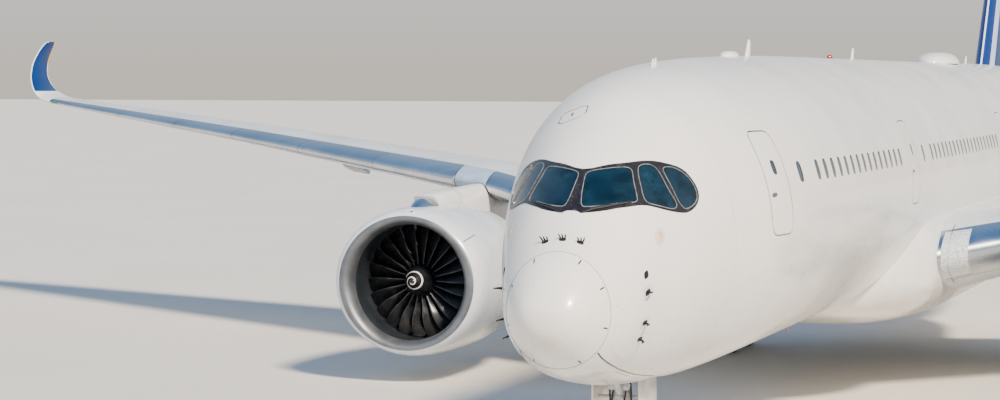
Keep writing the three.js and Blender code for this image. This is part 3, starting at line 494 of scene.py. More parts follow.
# epoxy primer inside the bays: pale green-grey, matt, a little oily
primer = finish(
    "epoxyBayPrimer", {"Roughness": 0.6}, (0.35, "#7C8375", "#A3A994", 6), [(0.18, "#4E4A3C", 0.5)]
)
# stretched acrylic over a dark cabin: near black, the painted shade of the unlit cabin behind it, with a cool
# sheen
cabinGlass = finish(
    "stretchedAcrylicWindow", {"Roughness": 0.08, "IOR": 1.49, "Coat Weight": 0.6},
    (0.22, "#12181D", "#2B3740", 3),
)
# satin black enamel round the panes, brown-black with dust in it
maskPaint = finish(
    "satinBlackEnamel", {"Roughness": 0.32, "Coat Weight": 0.3, "Coat Roughness": 0.2},
    (0.14, "#120E0D", "#231C19", 8), [(0.06, "#6E655B", 0.6, (1, 1, 1), (0.55, 0.72))],
)
# aluminium retainer and grey sealant round each pane
sealMetal = finish(
    "aluminiumPaneRetainer", {"Metallic": 0.6, "Roughness": 0.35}, (0.05, "#7C7871", "#CFCBC2", 6)
)
# laminated heated glass: clear with a teal tint, deepened as the painted shade of the cockpit behind, and
# darker clouds of painted shade in it
windscreenGlass = finish(
    "laminatedWindscreenGlass",
    {"Roughness": 0.02, "IOR": 1.45, "Transmission Weight": 0.9, "Coat Weight": 0.3, "Coat Roughness": 0.02},
    (0.6, "#2F5C76", "#4F8096", 3), [(0.45, "#16303E", 0.7, (1, 1, 1.6), (0.45, 0.62))],
)
# dark grey-blue moulded trim, seat cloth and glareshield leather inside the cockpit
cockpitTrim = finish(
    "greyBlueCockpitTrim", {"Roughness": 0.7}, (0.3, "#23303A", "#34444F", 6), [(0.15, "#10161B", 0.5)]
)
# white woven sunshade behind a side pane, a little creased
sunshade = finish("whiteWovenSunshade", {"Roughness": 0.8}, (0.12, "#B9BDBB", "#DCDEDA", 5, (1, 4, 0.5)))
# pale grey polyurethane on the wing: satin, with rows of panel joints and rain streaks
wingJoints = (6.1, 8.9, 11.6, 14.3, 17, 19.7, 22.4, 25.1, 27.8, 30.4)
wingPaint = finish(
    "satinGreyWingPaint", {"Roughness": 0.34, "Coat Weight": 0.25, "Coat Roughness": 0.2},
    (2.2, "#C6CBD0", "#DADEE1", 6, (1, 0.3, 1)), [(0.8, "#9C9A93", 0.4, (2.5, 0.35, 1))],
    seams=(0, [x * scaleOf["model"] * side for x in wingJoints for side in (-1, 1)], 16, "#7F8386", 0.3),
    wear=(0.9, 0.28, 0.45),
)
# bare aluminium of the leading edges, polished along the span, dulled by rain
polishedEdge = finish(
    "polishedAluminiumEdge", {"Metallic": 1.0, "Roughness": 0.24},
    (1.6, "#B4BCC4", "#D6DADE", 4, (0.35, 1, 1)), [(0.5, "#8E8B84", 0.35, (0.4, 1, 1))],
    wear=(1.4, 0.2, 0.34),
)
# spun aluminium intake lip: dull grey polish, darkened as a painted shade
lipMetal = finish(
    "spunAluminiumLip", {"Metallic": 0.8, "Roughness": 0.46}, (0.5, "#6C7075", "#84888C", 5),
    [(0.2, "#5F5C58", 0.3)], wear=(0.35, 0.42, 0.58),
)
# perforated acoustic liner, grey-blue paint darkened to near black with darker patches as the painted shade
# inside the duct; the 2 mm holes are drawn 12 mm wide to show
ductLiner = finish(
    "perforatedDuctLiner", {"Roughness": 0.42}, (0.6, "#1A1E23", "#272D33", 5), [(0.3, "#17191C", 0.4)],
    holes=(0.03, 6),
)
# carbon composite blades in erosion coat: near black, darkened as the painted shade inside the intake, satin,
# scuffed
fanBlade = finish(
    "compositeFanBlade", {"Roughness": 0.38, "Coat Weight": 0.2, "Coat Roughness": 0.25},
    (0.3, "#0D0E11", "#1B1D21", 6), [(0.15, "#3C3E42", 0.25)], wear=(0.25, 0.25, 0.42),
)
# titanium sheath on the leading edge of each blade: grey, darkened as a painted shade, brushed by dust
bladeEdge = finish("titaniumBladeEdge", {"Metallic": 0.8, "Roughness": 0.42}, (0.12, "#3C3E42", "#5F6266", 6))
# nickel alloy of the hot end: brown-grey with straw and blue heat tints
coreMetal = finish(
    "heatTintedNickelAlloy", {"Metallic": 0.9, "Roughness": 0.4}, (0.5, "#6B6258", "#938A7C", 6),
    [(0.6, "#A88A54", 0.55, (1, 0.6, 1)), (0.35, "#55617A", 0.5, (1, 0.5, 1), (0.56, 0.74)),
     (0.2, "#2D2925", 0.5, (1, 0.4, 1), (0.55, 0.8))],
    wear=(0.3, 0.32, 0.55),
)
# gloss blue polyurethane; stripes follow the distance from the edges in the UV map
bluePaints = {
    "glossBluePolyurethane": [],
    "stripedBluePolyurethane": [
        (0, 0.0, 0.03, "#E9EAEE", 0), (0, 0.03, 0.38, "#14306E", 0), (0, 0.4, 0.8, "#B4BFE3", 0),
    ],
    "edgedBluePolyurethane": [
        (2, 0.0, 3.71, "#DDE1E6", 0), (0, 0.0, 0.035, "#E6EAEE", 0), (1, 0.0, 0.05, "#E6EAEE", 0),
        (1, 0.0, 0.07, "#E3A818", 8.4),
    ],
}
rudderPaint, finPaint, wingletPaint = (
    finish(
        name, {"Roughness": 0.36, "IOR": 1.4}, (2.5, "#03285C", "#04326E", 4),
        [(0.9, "#03204A", 0.25, (1, 0.4, 1))], stripes=stripes, wear=(1.0, 0.26, 0.38),
    )
    for name, stripes in bluePaints.items()
)
# satin blue-grey polyurethane on the fixed edge above the pylon, rubbed by rain
edgeFairingPaint = finish(
    "satinBlueGreyPolyurethane", {"Roughness": 0.4, "Coat Weight": 0.2}, (0.5, "#8FA5BD", "#AFC1D3", 6),
    [(0.12, "#6E8299", 0.35, (1, 0.5, 1))], wear=(0.4, 0.34, 0.5),
)
# white-grey epoxy enamel on forged steel, greasy round the joints
gearEnamel = finish(
    "gearLegEnamel", {"Roughness": 0.38, "Coat Weight": 0.2, "Coat Roughness": 0.25},
    (0.3, "#C4C5C2", "#DCDCD8", 5), [(0.12, "#5B5347", 0.6, (1, 1, 0.5), (0.55, 0.72))],
    chips=(0.09, 0.008, "#4A443B", 0.7),
)
# hard chrome of the sliding pistons, with a film of hydraulic oil
chrome = finish(
    "hardChromePiston", {"Metallic": 1.0, "Roughness": 0.1}, (0.15, "#B9BDC0", "#DFE2E4", 3),
    wear=(0.1, 0.07, 0.18),
)
# cadmium plated steel of pins, bolts and brackets: grey with a straw cast
steel = finish(
    "cadmiumPlatedSteel", {"Metallic": 0.9, "Roughness": 0.42}, (0.05, "#7B7668", "#A6A08E", 5),
    [(0.03, "#3B352C", 0.5)],
)
# carbon black tyre rubber: charcoal, matt, with scrubbed grey dust
rubber = finish(
    "vulcanisedTyreRubber", {"Roughness": 0.82, "IOR": 1.52}, (0.2, "#1A1A1B", "#2A2A2A", 6),
    [(0.1, "#6A655C", 0.45, (1, 1, 1), (0.5, 0.75))], peel=(0.012, 0.3, 1.5),
)
# braided hydraulic hose under black neoprene, dull with grey wear
hoseRubber = finish("neopreneHose", {"Roughness": 0.55}, (0.03, "#17181A", "#34363A", 5))
# nickel of the heated probes, burnt almost black
probeMetal = finish(
    "burntNickelProbe", {"Metallic": 0.6, "Roughness": 0.45}, (0.05, "#1D1B1A", "#3A3632", 5),
    [(0.02, "#6A6156", 0.4)],
)
# straw-coloured moulded cover of a sensor, yellowed in clouds
sensorPlastic = finish("strawSensorCover", {"Roughness": 0.4, "IOR": 1.5}, (0.08, "#D9B380", "#EBD3A6", 4))
# moulded polycarbonate lamp covers, clear coat over a reflector
redLamp, greenLamp, clearLamp = (
    finish(name, {"Roughness": 0.08, "IOR": 1.58, "Coat Weight": 0.7}, (0.05, dark, light, 3))
    for name, dark, light in (
        ("redLampCover", "#7A0F0C", "#B3231A"), ("greenLampCover", "#0F5B33", "#1C8A50"),
        ("clearLampCover", "#9FA8AD", "#DDE3E6"),
    )
)
report("finishes")


def shellBm(start, end, outer, inner, step=0.35, around=144):  # a skin between two offsets
    whole = hullBm(start, end, outer, step, around)
    return cutAway(whole, hullBm(max(start - 0.2, 0.01), end + 0.2, inner, step, around))


def prismBm(outline, x1, x2):  # a side-view outline of aft and z pairs, drawn out across the body
    bm = bmesh.new()
    face = bm.faces.new([bm.verts.new(place(x1, aft, z)) for aft, z in outline])
    drawn = bmesh.ops.extrude_face_region(bm, geom=[face])["geom"]
    across = (x2 - x1) * scaleOf["model"]
    bmesh.ops.translate(bm, vec=(across, 0, 0), verts=[v for v in drawn if isinstance(v, bmesh.types.BMVert)])
    return outward(bm)


def roundedOutline(aft, z, width, height, power=4.0, sides=24):
    points = []
    for i in range(sides):
        angle = 2 * math.pi * i / sides
        c, s = math.cos(angle), math.sin(angle)
        across = math.copysign(abs(c) ** (2 / power), c) * width / 2
        up = math.copysign(abs(s) ** (2 / power), s) * height / 2
        points.append((aft + across, z + up))
    return points


def frameBm(outline, middle, thickness, x1, x2):  # a ring-shaped prism inside an outline
    points, middle = np.array(outline), np.array(middle)
    half = (points.max(axis=0) - points.min(axis=0)) / 2
    shrunk = middle + (points - middle) * (1 - thickness / half)
    return cutAway(prismBm(outline, x1, x2), prismBm(shrunk.tolist(), x1 - 0.1, x2 + 0.1))


def joined(parts):
    bm = bmesh.new()
    for part in parts:
        mesh = bpy.data.meshes.new("part")
        part.to_mesh(mesh)
        part.free()
        bm.from_mesh(mesh)
        bpy.data.meshes.remove(mesh)
    return bm


def depthBelow(point):  # how far a model place lies below the skin, in real metres
    x, aft, z = point / scaleOf["model"] + Vector((0, scaleOf["length"] / 2, 0))
    top, bottom, half, widest = hullAt(aft)
    height = max((top - widest) if z > widest else (widest - bottom), 0.01)
    reach = math.hypot(x / max(half, 0.01), (z - widest) / height)
    return (1 - reach) * min(half, height)


def paintedInside(bm, depth=0.012):  # 1 in the bays and holds, 2 in the cockpit
    for face in bm.faces:
        centre = face.calc_center_median()
        if depthBelow(centre) > depth:
            face.material_index = 2 if centre.z / scaleOf["model"] > windscreen["floor"] else 1
    return bm


# fuselage sections
bays = {
    "nose": {"front": 1.95, "split": 4.25, "back": 5.75, "half": 0.68, "roof": 3.75, "skin": 0.06},
    "main": {"front": 31.9, "back": 35.3, "inner": 0.3, "outer": 2.1, "roof": 3.1, "skin": 0.08},
    "gap": 0.014,
}
cargoDoors = {
    # piece: front, back, sill, head
    "forward_cargo_door": (11.0, 13.8, 3.1, 4.78),
    "aft_cargo_door": (44.3, 47.0, 3.35, 5.0),
}
holds = {"skin": 0.12, "depth": 2.1, "headGap": 0.026}
sections = {
    # piece: from, to, spacing of the rings
    "radome": (0.0, 0.778, 0.04),
    "cockpit_section": (0.7803, 8.6, 0.09),
    "forward_fuselage": (8.6003, 22.0, 0.3),
    "centre_fuselage": (22.0003, 43.5, 0.4),
    "rear_fuselage": (43.5003, 63.4, 0.3),
    "tail_cone": (63.4003, 66.8, 0.15),
}
cabin = {
    "windowHeight": 6.12,
    "windowSize": (0.27, 0.4),
    "pitch": 0.635,
    "rows": [(7.9, 18.3), (21.4, 35.2), (38.6, 51.0)],
    "doors": [6.55, 19.85, 36.9, 52.55],
    "doorSize": (1.07, 1.95),
    "doorMiddle": 5.95,
    "doorPane": 6.24,
    "doorPaneSize": (0.2, 0.27),
    "groove": 0.022,
    "pocket": 0.03,
    "glass": (0.012, 0.028),  # how far its two faces lie below the skin
    "reach": (1.9, 3.3),  # across, of the cutters
}


def underside(aft, x):
    _, bottom, half, widest = hullAt(aft)
    return widest - (widest - bottom) * math.sqrt(1 - (x / half) ** 2)


def slabBm(start, end, reach, grow=0.0):  # its front face holds the line between two places
    first, last = Vector(start), Vector(end)
    along = (last - first).normalized()
    aft = Vector((-along.y, along.x, 0)).normalized()
    up = along.cross(aft)
    length = (last - first).length + 2 * grow
    centre = (first + last) / 2 + aft * reach / 2
    turn = Matrix((along, aft, up)).transposed().to_4x4()
    size = Matrix.Diagonal((length * scaleOf["model"], (abs(reach) + 2 * grow) * scaleOf["model"], 6, 1))
    bm = bmesh.new()
    bmesh.ops.create_cube(bm, size=1, matrix=Matrix.Translation(place(*centre)) @ turn @ size)
    return bm


def noseBayCut():
    bay, gap = bays["nose"], bays["gap"]
    ends = [(bay["half"], aft, underside(aft, bay["half"])) for aft in (bay["front"], bay["split"])]
    reach = boxBm(-2, 2, bay["front"] - 0.5, bay["back"], 0, bay["roof"])
    port = keptIn(slabBm(*ends, bay["half"] - gap / 2, gap), reach)
    wide = boxBm(-bay["half"] - gap, bay["half"] + gap, bay["split"] - 0.2, bay["back"], 0, bay["roof"])
    return ends, [port, mirroredBm(port), wide]


def mainBayCuts():
    bay, gap = bays["main"], bays["gap"]
    front, back = bay["front"] - gap, bay["back"] + gap
    port = boxBm(bay["inner"] - gap, bay["outer"] + gap, front, back, 0, bay["roof"])
    return [port, mirroredBm(port)]


def holdCut(name):
    front, back, sill, head = cargoDoors[name]
    gap = bays["gap"]
    inside = holds["depth"] - sideAt(front, head)
    return boxBm(-4, inside, front - gap, back + gap, sill - gap, head + holds["headGap"])


def sideAt(aft, z):
    top, bottom, half, widest = hullAt(aft)
    height = (top - widest) if z > widest else (widest - bottom)
    return half * math.sqrt(max(0, 1 - ((z - widest) / height) ** 2))


def windowSpots():
    spots = []
    for first, last in cabin["rows"]:
        count = int((last - first) / cabin["pitch"])
        spots += [first + i * cabin["pitch"] for i in range(count + 1)]
    return spots


def sideFeatures(start, end):  # window pockets and door grooves between two stations
    windows, grooves = [], []
    for aft in windowSpots():
        if start + 0.2 < aft < end - 0.2:
            windows.append(roundedOutline(aft, cabin["windowHeight"], *cabin["windowSize"], 3.2, 20))
    for aft in cabin["doors"]:
        if start < aft < end:
            windows.append(roundedOutline(aft, cabin["doorPane"], *cabin["doorPaneSize"], 3.2, 20))
            grooves.append(roundedOutline(aft, cabin["doorMiddle"], *cabin["doorSize"], 7, 48))
    return windows, grooves


def cutSides(bm, start, end):
    windows, grooves = sideFeatures(start, end)
    low, high = cabin["reach"]
    pockets, openings = [], []
    for side in (-1, 1):
        pockets += [prismBm(outline, side * low, side * high) for outline in windows]
        openings += [prismBm(outline, side * low, side * high) for outline in windows]
        for outline in grooves:
            middle = ((outline[0][0] + outline[24][0]) / 2, cabin["doorMiddle"])
            pockets.append(frameBm(outline, middle, cabin["groove"], side * low, side * high))
    if not pockets:
        return bm, None
    cutter = cutAway(joined(pockets), hullBm(start - 0.3, end + 0.3, -cabin["pocket"], 0.5))
    front, back = cabin["glass"]
    glass = keptIn(joined(openings), hullBm(start - 0.3, end + 0.3, -front, 0.5))
    return cutAway(bm, cutter), cutAway(glass, hullBm(start - 0.4, end + 0.4, -back, 0.5))


def boreBm(front, back, radius, z):  # a round hole along the body
    def surface(u, v):
        turn = 2 * math.pi * u
        return place(radius * math.sin(turn), front + (back - front) * v, z + radius * math.cos(turn))

    return closedGrid(48, 1, surface)


pipe = {"front": 66.05, "back": 66.79, "outer": 0.205, "inner": 0.18, "z": 7.36}  # of the exhaust in the tail
doorEnds, noseCuts = noseBayCut()
cuts = {
    "cockpit_section": noseCuts,
    "forward_fuselage": [holdCut("forward_cargo_door")],
    "centre_fuselage": mainBayCuts(),
    "rear_fuselage": [holdCut("aft_cargo_door")],
    "tail_cone": [
        boreBm(pipe["front"], scaleOf["length"] + 0.1, (pipe["inner"] + pipe["outer"]) / 2, pipe["z"]),
    ],
}


# cockpit windows
windscreen = {
    # outlines of the port side on the skin: x, aft, z
    "apex": (0.0, 4.3, 5.75),
    "mask": [
        (0.0, 2.31, 6.318), (0.16, 2.342, 6.337), (0.394, 2.476, 6.393), (0.622, 2.632, 6.419),
        (0.766, 2.764, 6.437), (0.882, 2.891, 6.452), (1.045, 3.074, 6.447), (1.209, 3.256, 6.405),
        (1.371, 3.449, 6.342), (1.492, 3.57, 6.251), (1.597, 3.639, 6.116), (1.679, 3.674, 5.968),
        (1.725, 3.647, 5.823), (1.728, 3.541, 5.695), (1.693, 3.375, 5.599), (1.626, 3.163, 5.541),
        (1.508, 2.915, 5.56), (1.383, 2.704, 5.603), (1.229, 2.494, 5.663), (1.116, 2.357, 5.697),
        (1.006, 2.214, 5.702), (0.852, 2.014, 5.68), (0.713, 1.87, 5.662), (0.571, 1.743, 5.632),
        (0.369, 1.621, 5.606), (0.208, 1.561, 5.593), (0.0, 1.519, 5.572),
    ],
    "panes": [
        [
            (0.12, 2.262, 6.27), (0.388, 2.392, 6.323), (0.655, 2.565, 6.343), (0.745, 2.602, 6.318),
            (0.79, 2.58, 6.26), (0.852, 2.451, 6.094), (0.954, 2.293, 5.842), (0.96, 2.23, 5.78),
            (0.9, 2.15, 5.762), (0.693, 1.945, 5.753), (0.448, 1.76, 5.715), (0.206, 1.669, 5.702),
            (0.15, 1.69, 5.73), (0.125, 1.74, 5.79), (0.1, 1.857, 5.907), (0.08, 2.027, 6.073),
            (0.07, 2.17, 6.2),
        ],
        [
            (0.866, 2.73, 6.331), (0.901, 2.822, 6.378), (0.993, 2.931, 6.384), (1.083, 2.989, 6.339),
            (1.172, 2.993, 6.238), (1.27, 2.966, 6.079), (1.362, 2.957, 5.92), (1.447, 2.977, 5.775),
            (1.486, 2.977, 5.688), (1.478, 2.917, 5.638), (1.418, 2.799, 5.637), (1.288, 2.611, 5.687),
            (1.152, 2.446, 5.736), (1.089, 2.401, 5.781), (1.039, 2.42, 5.866), (0.97, 2.512, 6.035),
            (0.901, 2.621, 6.204),
        ],
        [
            (1.206, 3.127, 6.307), (1.247, 3.225, 6.333), (1.336, 3.353, 6.315), (1.454, 3.481, 6.238),
            (1.554, 3.565, 6.133), (1.636, 3.604, 6.0), (1.693, 3.595, 5.854), (1.703, 3.517, 5.74),
            (1.667, 3.359, 5.658), (1.616, 3.203, 5.621), (1.575, 3.125, 5.638), (1.514, 3.069, 5.728),
            (1.441, 3.059, 5.873), (1.349, 3.066, 6.047), (1.254, 3.083, 6.206),
        ],
    ],
    "seal": 0.012,
    "floor": 5.29,  # faces above it are painted as the cockpit's
    "ledge": 5.3,
}


def rounded(outline, steps=4, closed=True):  # a smooth line through the points
    points = [Vector(p) for p in outline]
    count = len(points)
    line = []
    for i in range(count if closed else count - 1):
        spots = [(i + k) % count if closed else min(max(i + k, 0), count - 1) for k in (-1, 0, 1, 2)]
        a, b, c, d = (points[spot] for spot in spots)
        for t in np.arange(steps) / steps:
            bend, turn = 2 * a - 5 * b + 4 * c - d, 3 * b - a - 3 * c + d
            line.append((2 * b + (c - a) * t + bend * t * t + turn * t**3) / 2)
    return line if closed else line + [points[-1]]


def grownLoop(outline, apex, distance):  # moves a loop on the skin outwards along the skin
    points = [Vector(p) for p in outline]
    centre = sum(points, Vector()) / len(points)
    sides = []
    for i, point in enumerate(points):
        tangent = points[(i + 1) % len(points)] - points[i - 1]
        sides.append(tangent.cross(point - Vector(apex)).normalized())
    sign = 1 if sum(side.dot(p - centre) for side, p in zip(sides, points)) > 0 else -1
    return [p + side * distance * sign for side, p in zip(sides, points)]


def rayCutter(outline, apex, low=0.6, high=1.6):  # walls that run out from the apex through the outline
    bm = bmesh.new()
    centre = place(*apex)
    rim = [bm.verts.new(centre + (place(*point) - centre) * low) for point in outline]
    drawn = bmesh.ops.extrude_face_region(bm, geom=[bm.faces.new(rim)])["geom"]
    for vert in drawn:
        if isinstance(vert, bmesh.types.BMVert):
            vert.co = centre + (vert.co - centre) * (high / low)
    bmesh.ops.triangulate(bm, faces=bm.faces)
    return outward(bm)


def bothSides(bm):  # adds the starboard twin of a piece that is cut off on the centreline
    flat = [face for face in bm.faces if all(abs(vert.co.x) < 1e-5 for vert in face.verts)]
    bmesh.ops.delete(bm, geom=flat, context="FACES")
    bmesh.ops.mirror(bm, geom=bm.verts[:] + bm.edges[:] + bm.faces[:], axis="X", merge_dist=2e-5)
    return outward(bm)


apex = windscreen["apex"]
paneLoops = [rounded(pane, 3) for pane in windscreen["panes"]]
seal = windscreen["seal"]
maskLoop = rounded(windscreen["mask"], 2, closed=False)


def noseShell(outer, inner):
    return shellBm(1.3, 4.6, outer, inner, 0.035, 240)


def addCockpitWindows():
    paneRoom = [rayCutter(grownLoop(loop, apex, seal), apex, 0.5, 1.7) for loop in paneLoops]
    mask = cutAway(keptIn(noseShell(0.006, -0.004), rayCutter(maskLoop, apex)), *paneRoom)
    finished("cockpit_mask", bothSides(mask), "root", "dark_surround", [maskPaint], 30, ["cockpit_windows"])
    seals, panes = [], []
    for loop in paneLoops:
        ring = keptIn(noseShell(0.012, -0.03), rayCutter(grownLoop(loop, apex, seal), apex))
        seals.append(cutAway(ring, rayCutter(loop, apex, 0.5, 1.7)))
        panes.append(keptIn(noseShell(0.001, -0.02), rayCutter(loop, apex)))
    sealBm, paneBm = joined(seals), joined(panes)
    sealBm, paneBm = joined([sealBm, mirroredBm(sealBm)]), joined([paneBm, mirroredBm(paneBm)])
    fitted("windscreen_seals", sealBm, [sealMetal], "bare_metal", mirror=False, smooth=30)
    fitted("windscreen_panes", paneBm, [windscreenGlass], "dark_surround", mirror=False, smooth=30)


def addSections():
    holes = [rayCutter(loop, apex, 0.72, 1.5) for loop in paneLoops]
    room = keptIn(hullBm(1.72, 4.35, -0.13, 0.08, 96), boxBm(-1.6, 1.6, 1.6, 4.3, windscreen["ledge"], 6.75))
    cuts["cockpit_section"] += [room, *holes, *(mirroredBm(hole) for hole in holes)]
    for name, (start, end, step) in sections.items():
        bm = cutAway(hullBm(start, end, step=step), *cuts.get(name, ()))
        bm, glass = cutSides(bm, start, end) if name not in ("radome", "tail_cone") else (bm, None)
        inside = [primer, cockpitTrim] if name == "cockpit_section" else [primer, primer]
        skinned(name, paintedInside(bm), "white_paint", [whitePaint, *inside], 40)
        if glass:
            fitted(name + "_windows", glass, [cabinGlass], "dark_surround", mirror=False)


# Boxes inside the cockpit: their reach in x, aft and z, the edge's rounding in millimetres,
# how far they lean back in degrees, and the aft and z of the line they lean about
furniture = {
    "shield": (-1.02, 1.02, 2.3, 2.75, 5.56, 5.7, 50, 0, 0, 0),
    "panel": (-1.0, 1.0, 2.62, 2.72, 5.3, 5.62, 20, -12, 2.67, 5.46),
    "pedestal": (-0.22, 0.22, 2.7, 3.5, 5.3, 5.5, 30, 0, 0, 0),
    "overhead": (-0.34, 0.34, 2.75, 3.45, 6.5, 6.56, 20, 12, 3.1, 6.53),
    "seatBack": (0.32, 0.84, 3.2, 3.34, 5.35, 6.05, 40, -12, 3.25, 5.4),
    "headRest": (0.44, 0.72, 3.28, 3.4, 6.07, 6.28, 40, -12, 3.25, 5.4),
    "seatPad": (0.32, 0.84, 2.85, 3.3, 5.32, 5.46, 40, -4, 3.25, 5.4),
}
sunshadeLine = [(2.75, 5.66), (3.02, 5.62), (3.12, 6.2), (2.95, 6.28), (2.8, 6.2)]  # aft, z


def furnitureBm(x1, x2, aft1, aft2, z1, z2, edge, lean, leanAft, leanZ):
    bm = bevelled(boxBm(x1, x2, aft1, aft2, z1, z2), edge * 0.001, 3)
    turn = Matrix.Rotation(math.radians(lean), 3, "X")
    bmesh.ops.rotate(bm, cent=place(0, leanAft, leanZ), matrix=turn, verts=bm.verts)
    return bm


def cockpitFurniture():
    parts = []
    for name, (x1, x2, *rest) in furniture.items():
        sides = (-1, 1) if name in ("seatBack", "headRest", "seatPad") else (1,)
        parts += [furnitureBm(side * x1, side * x2, *rest) for side in sides]
    return joined(parts)


addSections()
report("fuselage")
fitted("cockpit_furniture", cockpitFurniture(), [cockpitTrim], "dark_surround", mirror=False)
shade = keptIn(shellBm(2.6, 3.3, -0.09, -0.1, 0.05), prismBm(sunshadeLine, 0.8, 1.7))
fitted("side_sunshade", shade, [sunshade], "white_paint", mirror=False)
addCockpitWindows()
report("cockpit windows")


# wings
wingRows = np.array([
    # x, leading edge aft, its z, chord, thickness, twist
    [2.3, 21.92, 3.37, 14.31, 0.14, 2.6],
    [2.98, 22.4, 3.5, 13.8, 0.14, 2.5],
    [6.6, 24.93, 4.2, 11.1, 0.128, 1.7],
    [10.5, 27.66, 4.95, 8.2, 0.115, 0.8],
    [20.7, 34.47, 6.04, 5.23, 0.105, -0.4],
    [30.9, 41.29, 7.05, 2.25, 0.1, -1.5],
])
wingletRows = np.array([
    # x, leading edge aft, its z, chord, thickness, cant
    [30.9, 41.29, 7.05, 2.25, 0.1, 0],
    [31.48, 41.65, 7.2, 2.0, 0.1, 24],
    [31.92, 41.98, 7.52, 1.55, 0.1, 46],
    [32.2, 42.36, 8.0, 1.24, 0.1, 66],
    [32.33, 42.83, 8.5, 1.1, 0.1, 77],
    [32.35, 43.36, 8.93, 0.96, 0.1, 82],
    [32.36, 43.78, 9.15, 0.72, 0.1, 84],
    [32.36, 44.0, 9.19, 0.48, 0.06, 84],
])
wingShape = {
    "camber": 0.012,
    "tipTwist": -1.5,
    "around": 96,
    # front edge line of each piece in plan, and how far the piece reaches aft
    "inboard_flap": (3.95, 34.1, 9.5, 34.1, 3.2),
    "outboard_flap": (10.4, 34.15, 20.3, 38.13, 3.2),
    "aileron": (21.3, 38.75, 29.6, 42.13, 3.2),
    "slats": (10.98, 28.988, 29.7, 41.0, -2.4),
    "droop_nose": (4.5, 24.6, 8.7, 27.54, -2.4),
    "hingeDrop": {"inboard_flap": 0.98, "outboard_flap": 0.8, "slats": 0.6, "droop_nose": 0.66},
    "spoilerCorners": [(11.1, 33.0, 5.3004), (19.6, 36.45, 6.1873), (11.1, 33.95, 5.2169)],
    "spoilerReach": 0.95,
    "spoilerFront": (0.07, 52, 0.006),  # thickness, slope of the front face in degrees, room ahead of it
    "aileronNose": (0.126, 0.09),
    "slatJoints": [14.27, 17.55, 20.7, 23.65, 26.7],
    "metalEdge": (0.93, 0.118),
    "fixedEdge": (10.15, 11.35),
    "slatGap": 0.02,
    "run": 0.014,
    "slip": 0.001,
    "knuckle": (0.08, 0.4),
    "rails": {"slats": (14.0, 22.0), "droop_nose": (5.6, 8.0)},
    "railSize": 0.06,
    "railReach": 0.36,
    "tracks": [(7.0, 31.6, 5.4, 0.62, 0.95), (12.9, 32.6, 4.6, 0.56, 0.85), (17.45, 34.57, 4.2, 0.5, 0.85)],
}
trackFull = np.array([[0, 0.0], [0.03, 0.3], [0.08, 0.47], [0.22, 0.8], [0.45, 1.0], [0.75, 0.7], [1, 0.04]])


def rowAt(rows, x):
    return [float(np.interp(x, rows[:, 0], rows[:, k])) for k in range(rows.shape[1])]


def sectionHeights(share, thickness, camber):
    half = 5 * thickness * (
        0.2969 * math.sqrt(share) - 0.126 * share - 0.3516 * share**2 + 0.2843 * share**3 - 0.1036 * share**4
    )
    return 4 * camber * share * (1 - share), half


def sectionPoint(row, u, camber, cant=0.0):  # u runs from the rear edge over the top to the front and back
    x, aft, z, chord, thickness, twist = row
    share = (1 + math.cos(2 * math.pi * u)) / 2
    line, half = sectionHeights(share, thickness, camber)
    height = line + (half if u < 0.5 else -half)
    tilt, lean = math.radians(twist), math.radians(cant)
    back = chord * (share * math.cos(tilt) + height * math.sin(tilt))
    up = chord * (height * math.cos(tilt) - share * math.sin(tilt))
    return Vector((x - up * math.sin(lean), aft + back, z + up * math.cos(lean)))


def planeSurface(rows, spots, camber):
    def surface(u, v):
        row = rowAt(rows, spots[round(v * (len(spots) - 1))])
        return place(*sectionPoint(row, u, camber))

    return surface


def spotsBetween(rows, step):
    knots = rows[:, 0]
    spots = [knots[0]]
    for a, b in zip(knots, knots[1:]):
        count = max(1, round((b - a) / step))
        spots += [a + (b - a) * i / count for i in range(1, count + 1)]
    return spots


def bareWing():
    spots = spotsBetween(wingRows, 0.5)
    return closedGrid(wingShape["around"], len(spots) - 1, planeSurface(wingRows, spots, wingShape["camber"]))


def middleAt(rows, camber, x, aft):
    _, lead, z, chord, _, twist = rowAt(rows, x)
    share = (aft - lead) / chord
    return z + chord * 4 * camber * share * (1 - share) - (aft - lead) * math.sin(math.radians(twist))


def edgeEnds(edge, rows=wingRows, camber=wingShape["camber"]):
    x1, aft1, x2, aft2, reach = edge
    ends = [(x1, aft1, middleAt(rows, camber, x1, aft1)), (x2, aft2, middleAt(rows, camber, x2, aft2))]
    return ends, reach


def barBm(start, end, radius1, radius2=None, sides=32):
    first, last = place(*start), place(*end)
    along = last - first
    turn = Vector((0, 0, 1)).rotation_difference(along).to_matrix().to_4x4()
    bm = bmesh.new()
    bmesh.ops.create_cone(
        bm, cap_ends=True, segments=sides, depth=along.length,
        matrix=Matrix.Translation((first + last) / 2) @ turn,
        radius1=radius1 * scaleOf["model"],
        radius2=(radius1 if radius2 is None else radius2) * scaleOf["model"],
    )
    return bm


def plateBm(corners, reach, grow=0.0, high=1.0):  # a box that rises from the plane of three places
    start, end, rear = (Vector(c) for c in corners)
    along = (end - start).normalized()
    up = along.cross(rear - start).normalized()
    back = up.cross(along)
    length = (end - start).length + 2 * grow
    centre = (start + end) / 2 + back * reach / 2 + up * (high / 2 - grow)
    turn = Matrix((along, back, up)).transposed().to_4x4()
    size = Matrix.Diagonal((*(Vector((length, reach + 2 * grow, high)) * scaleOf["model"]), 1))
    bm = bmesh.new()
    bmesh.ops.create_cube(bm, size=1, matrix=Matrix.Translation(place(*centre)) @ turn @ size)
    return bm


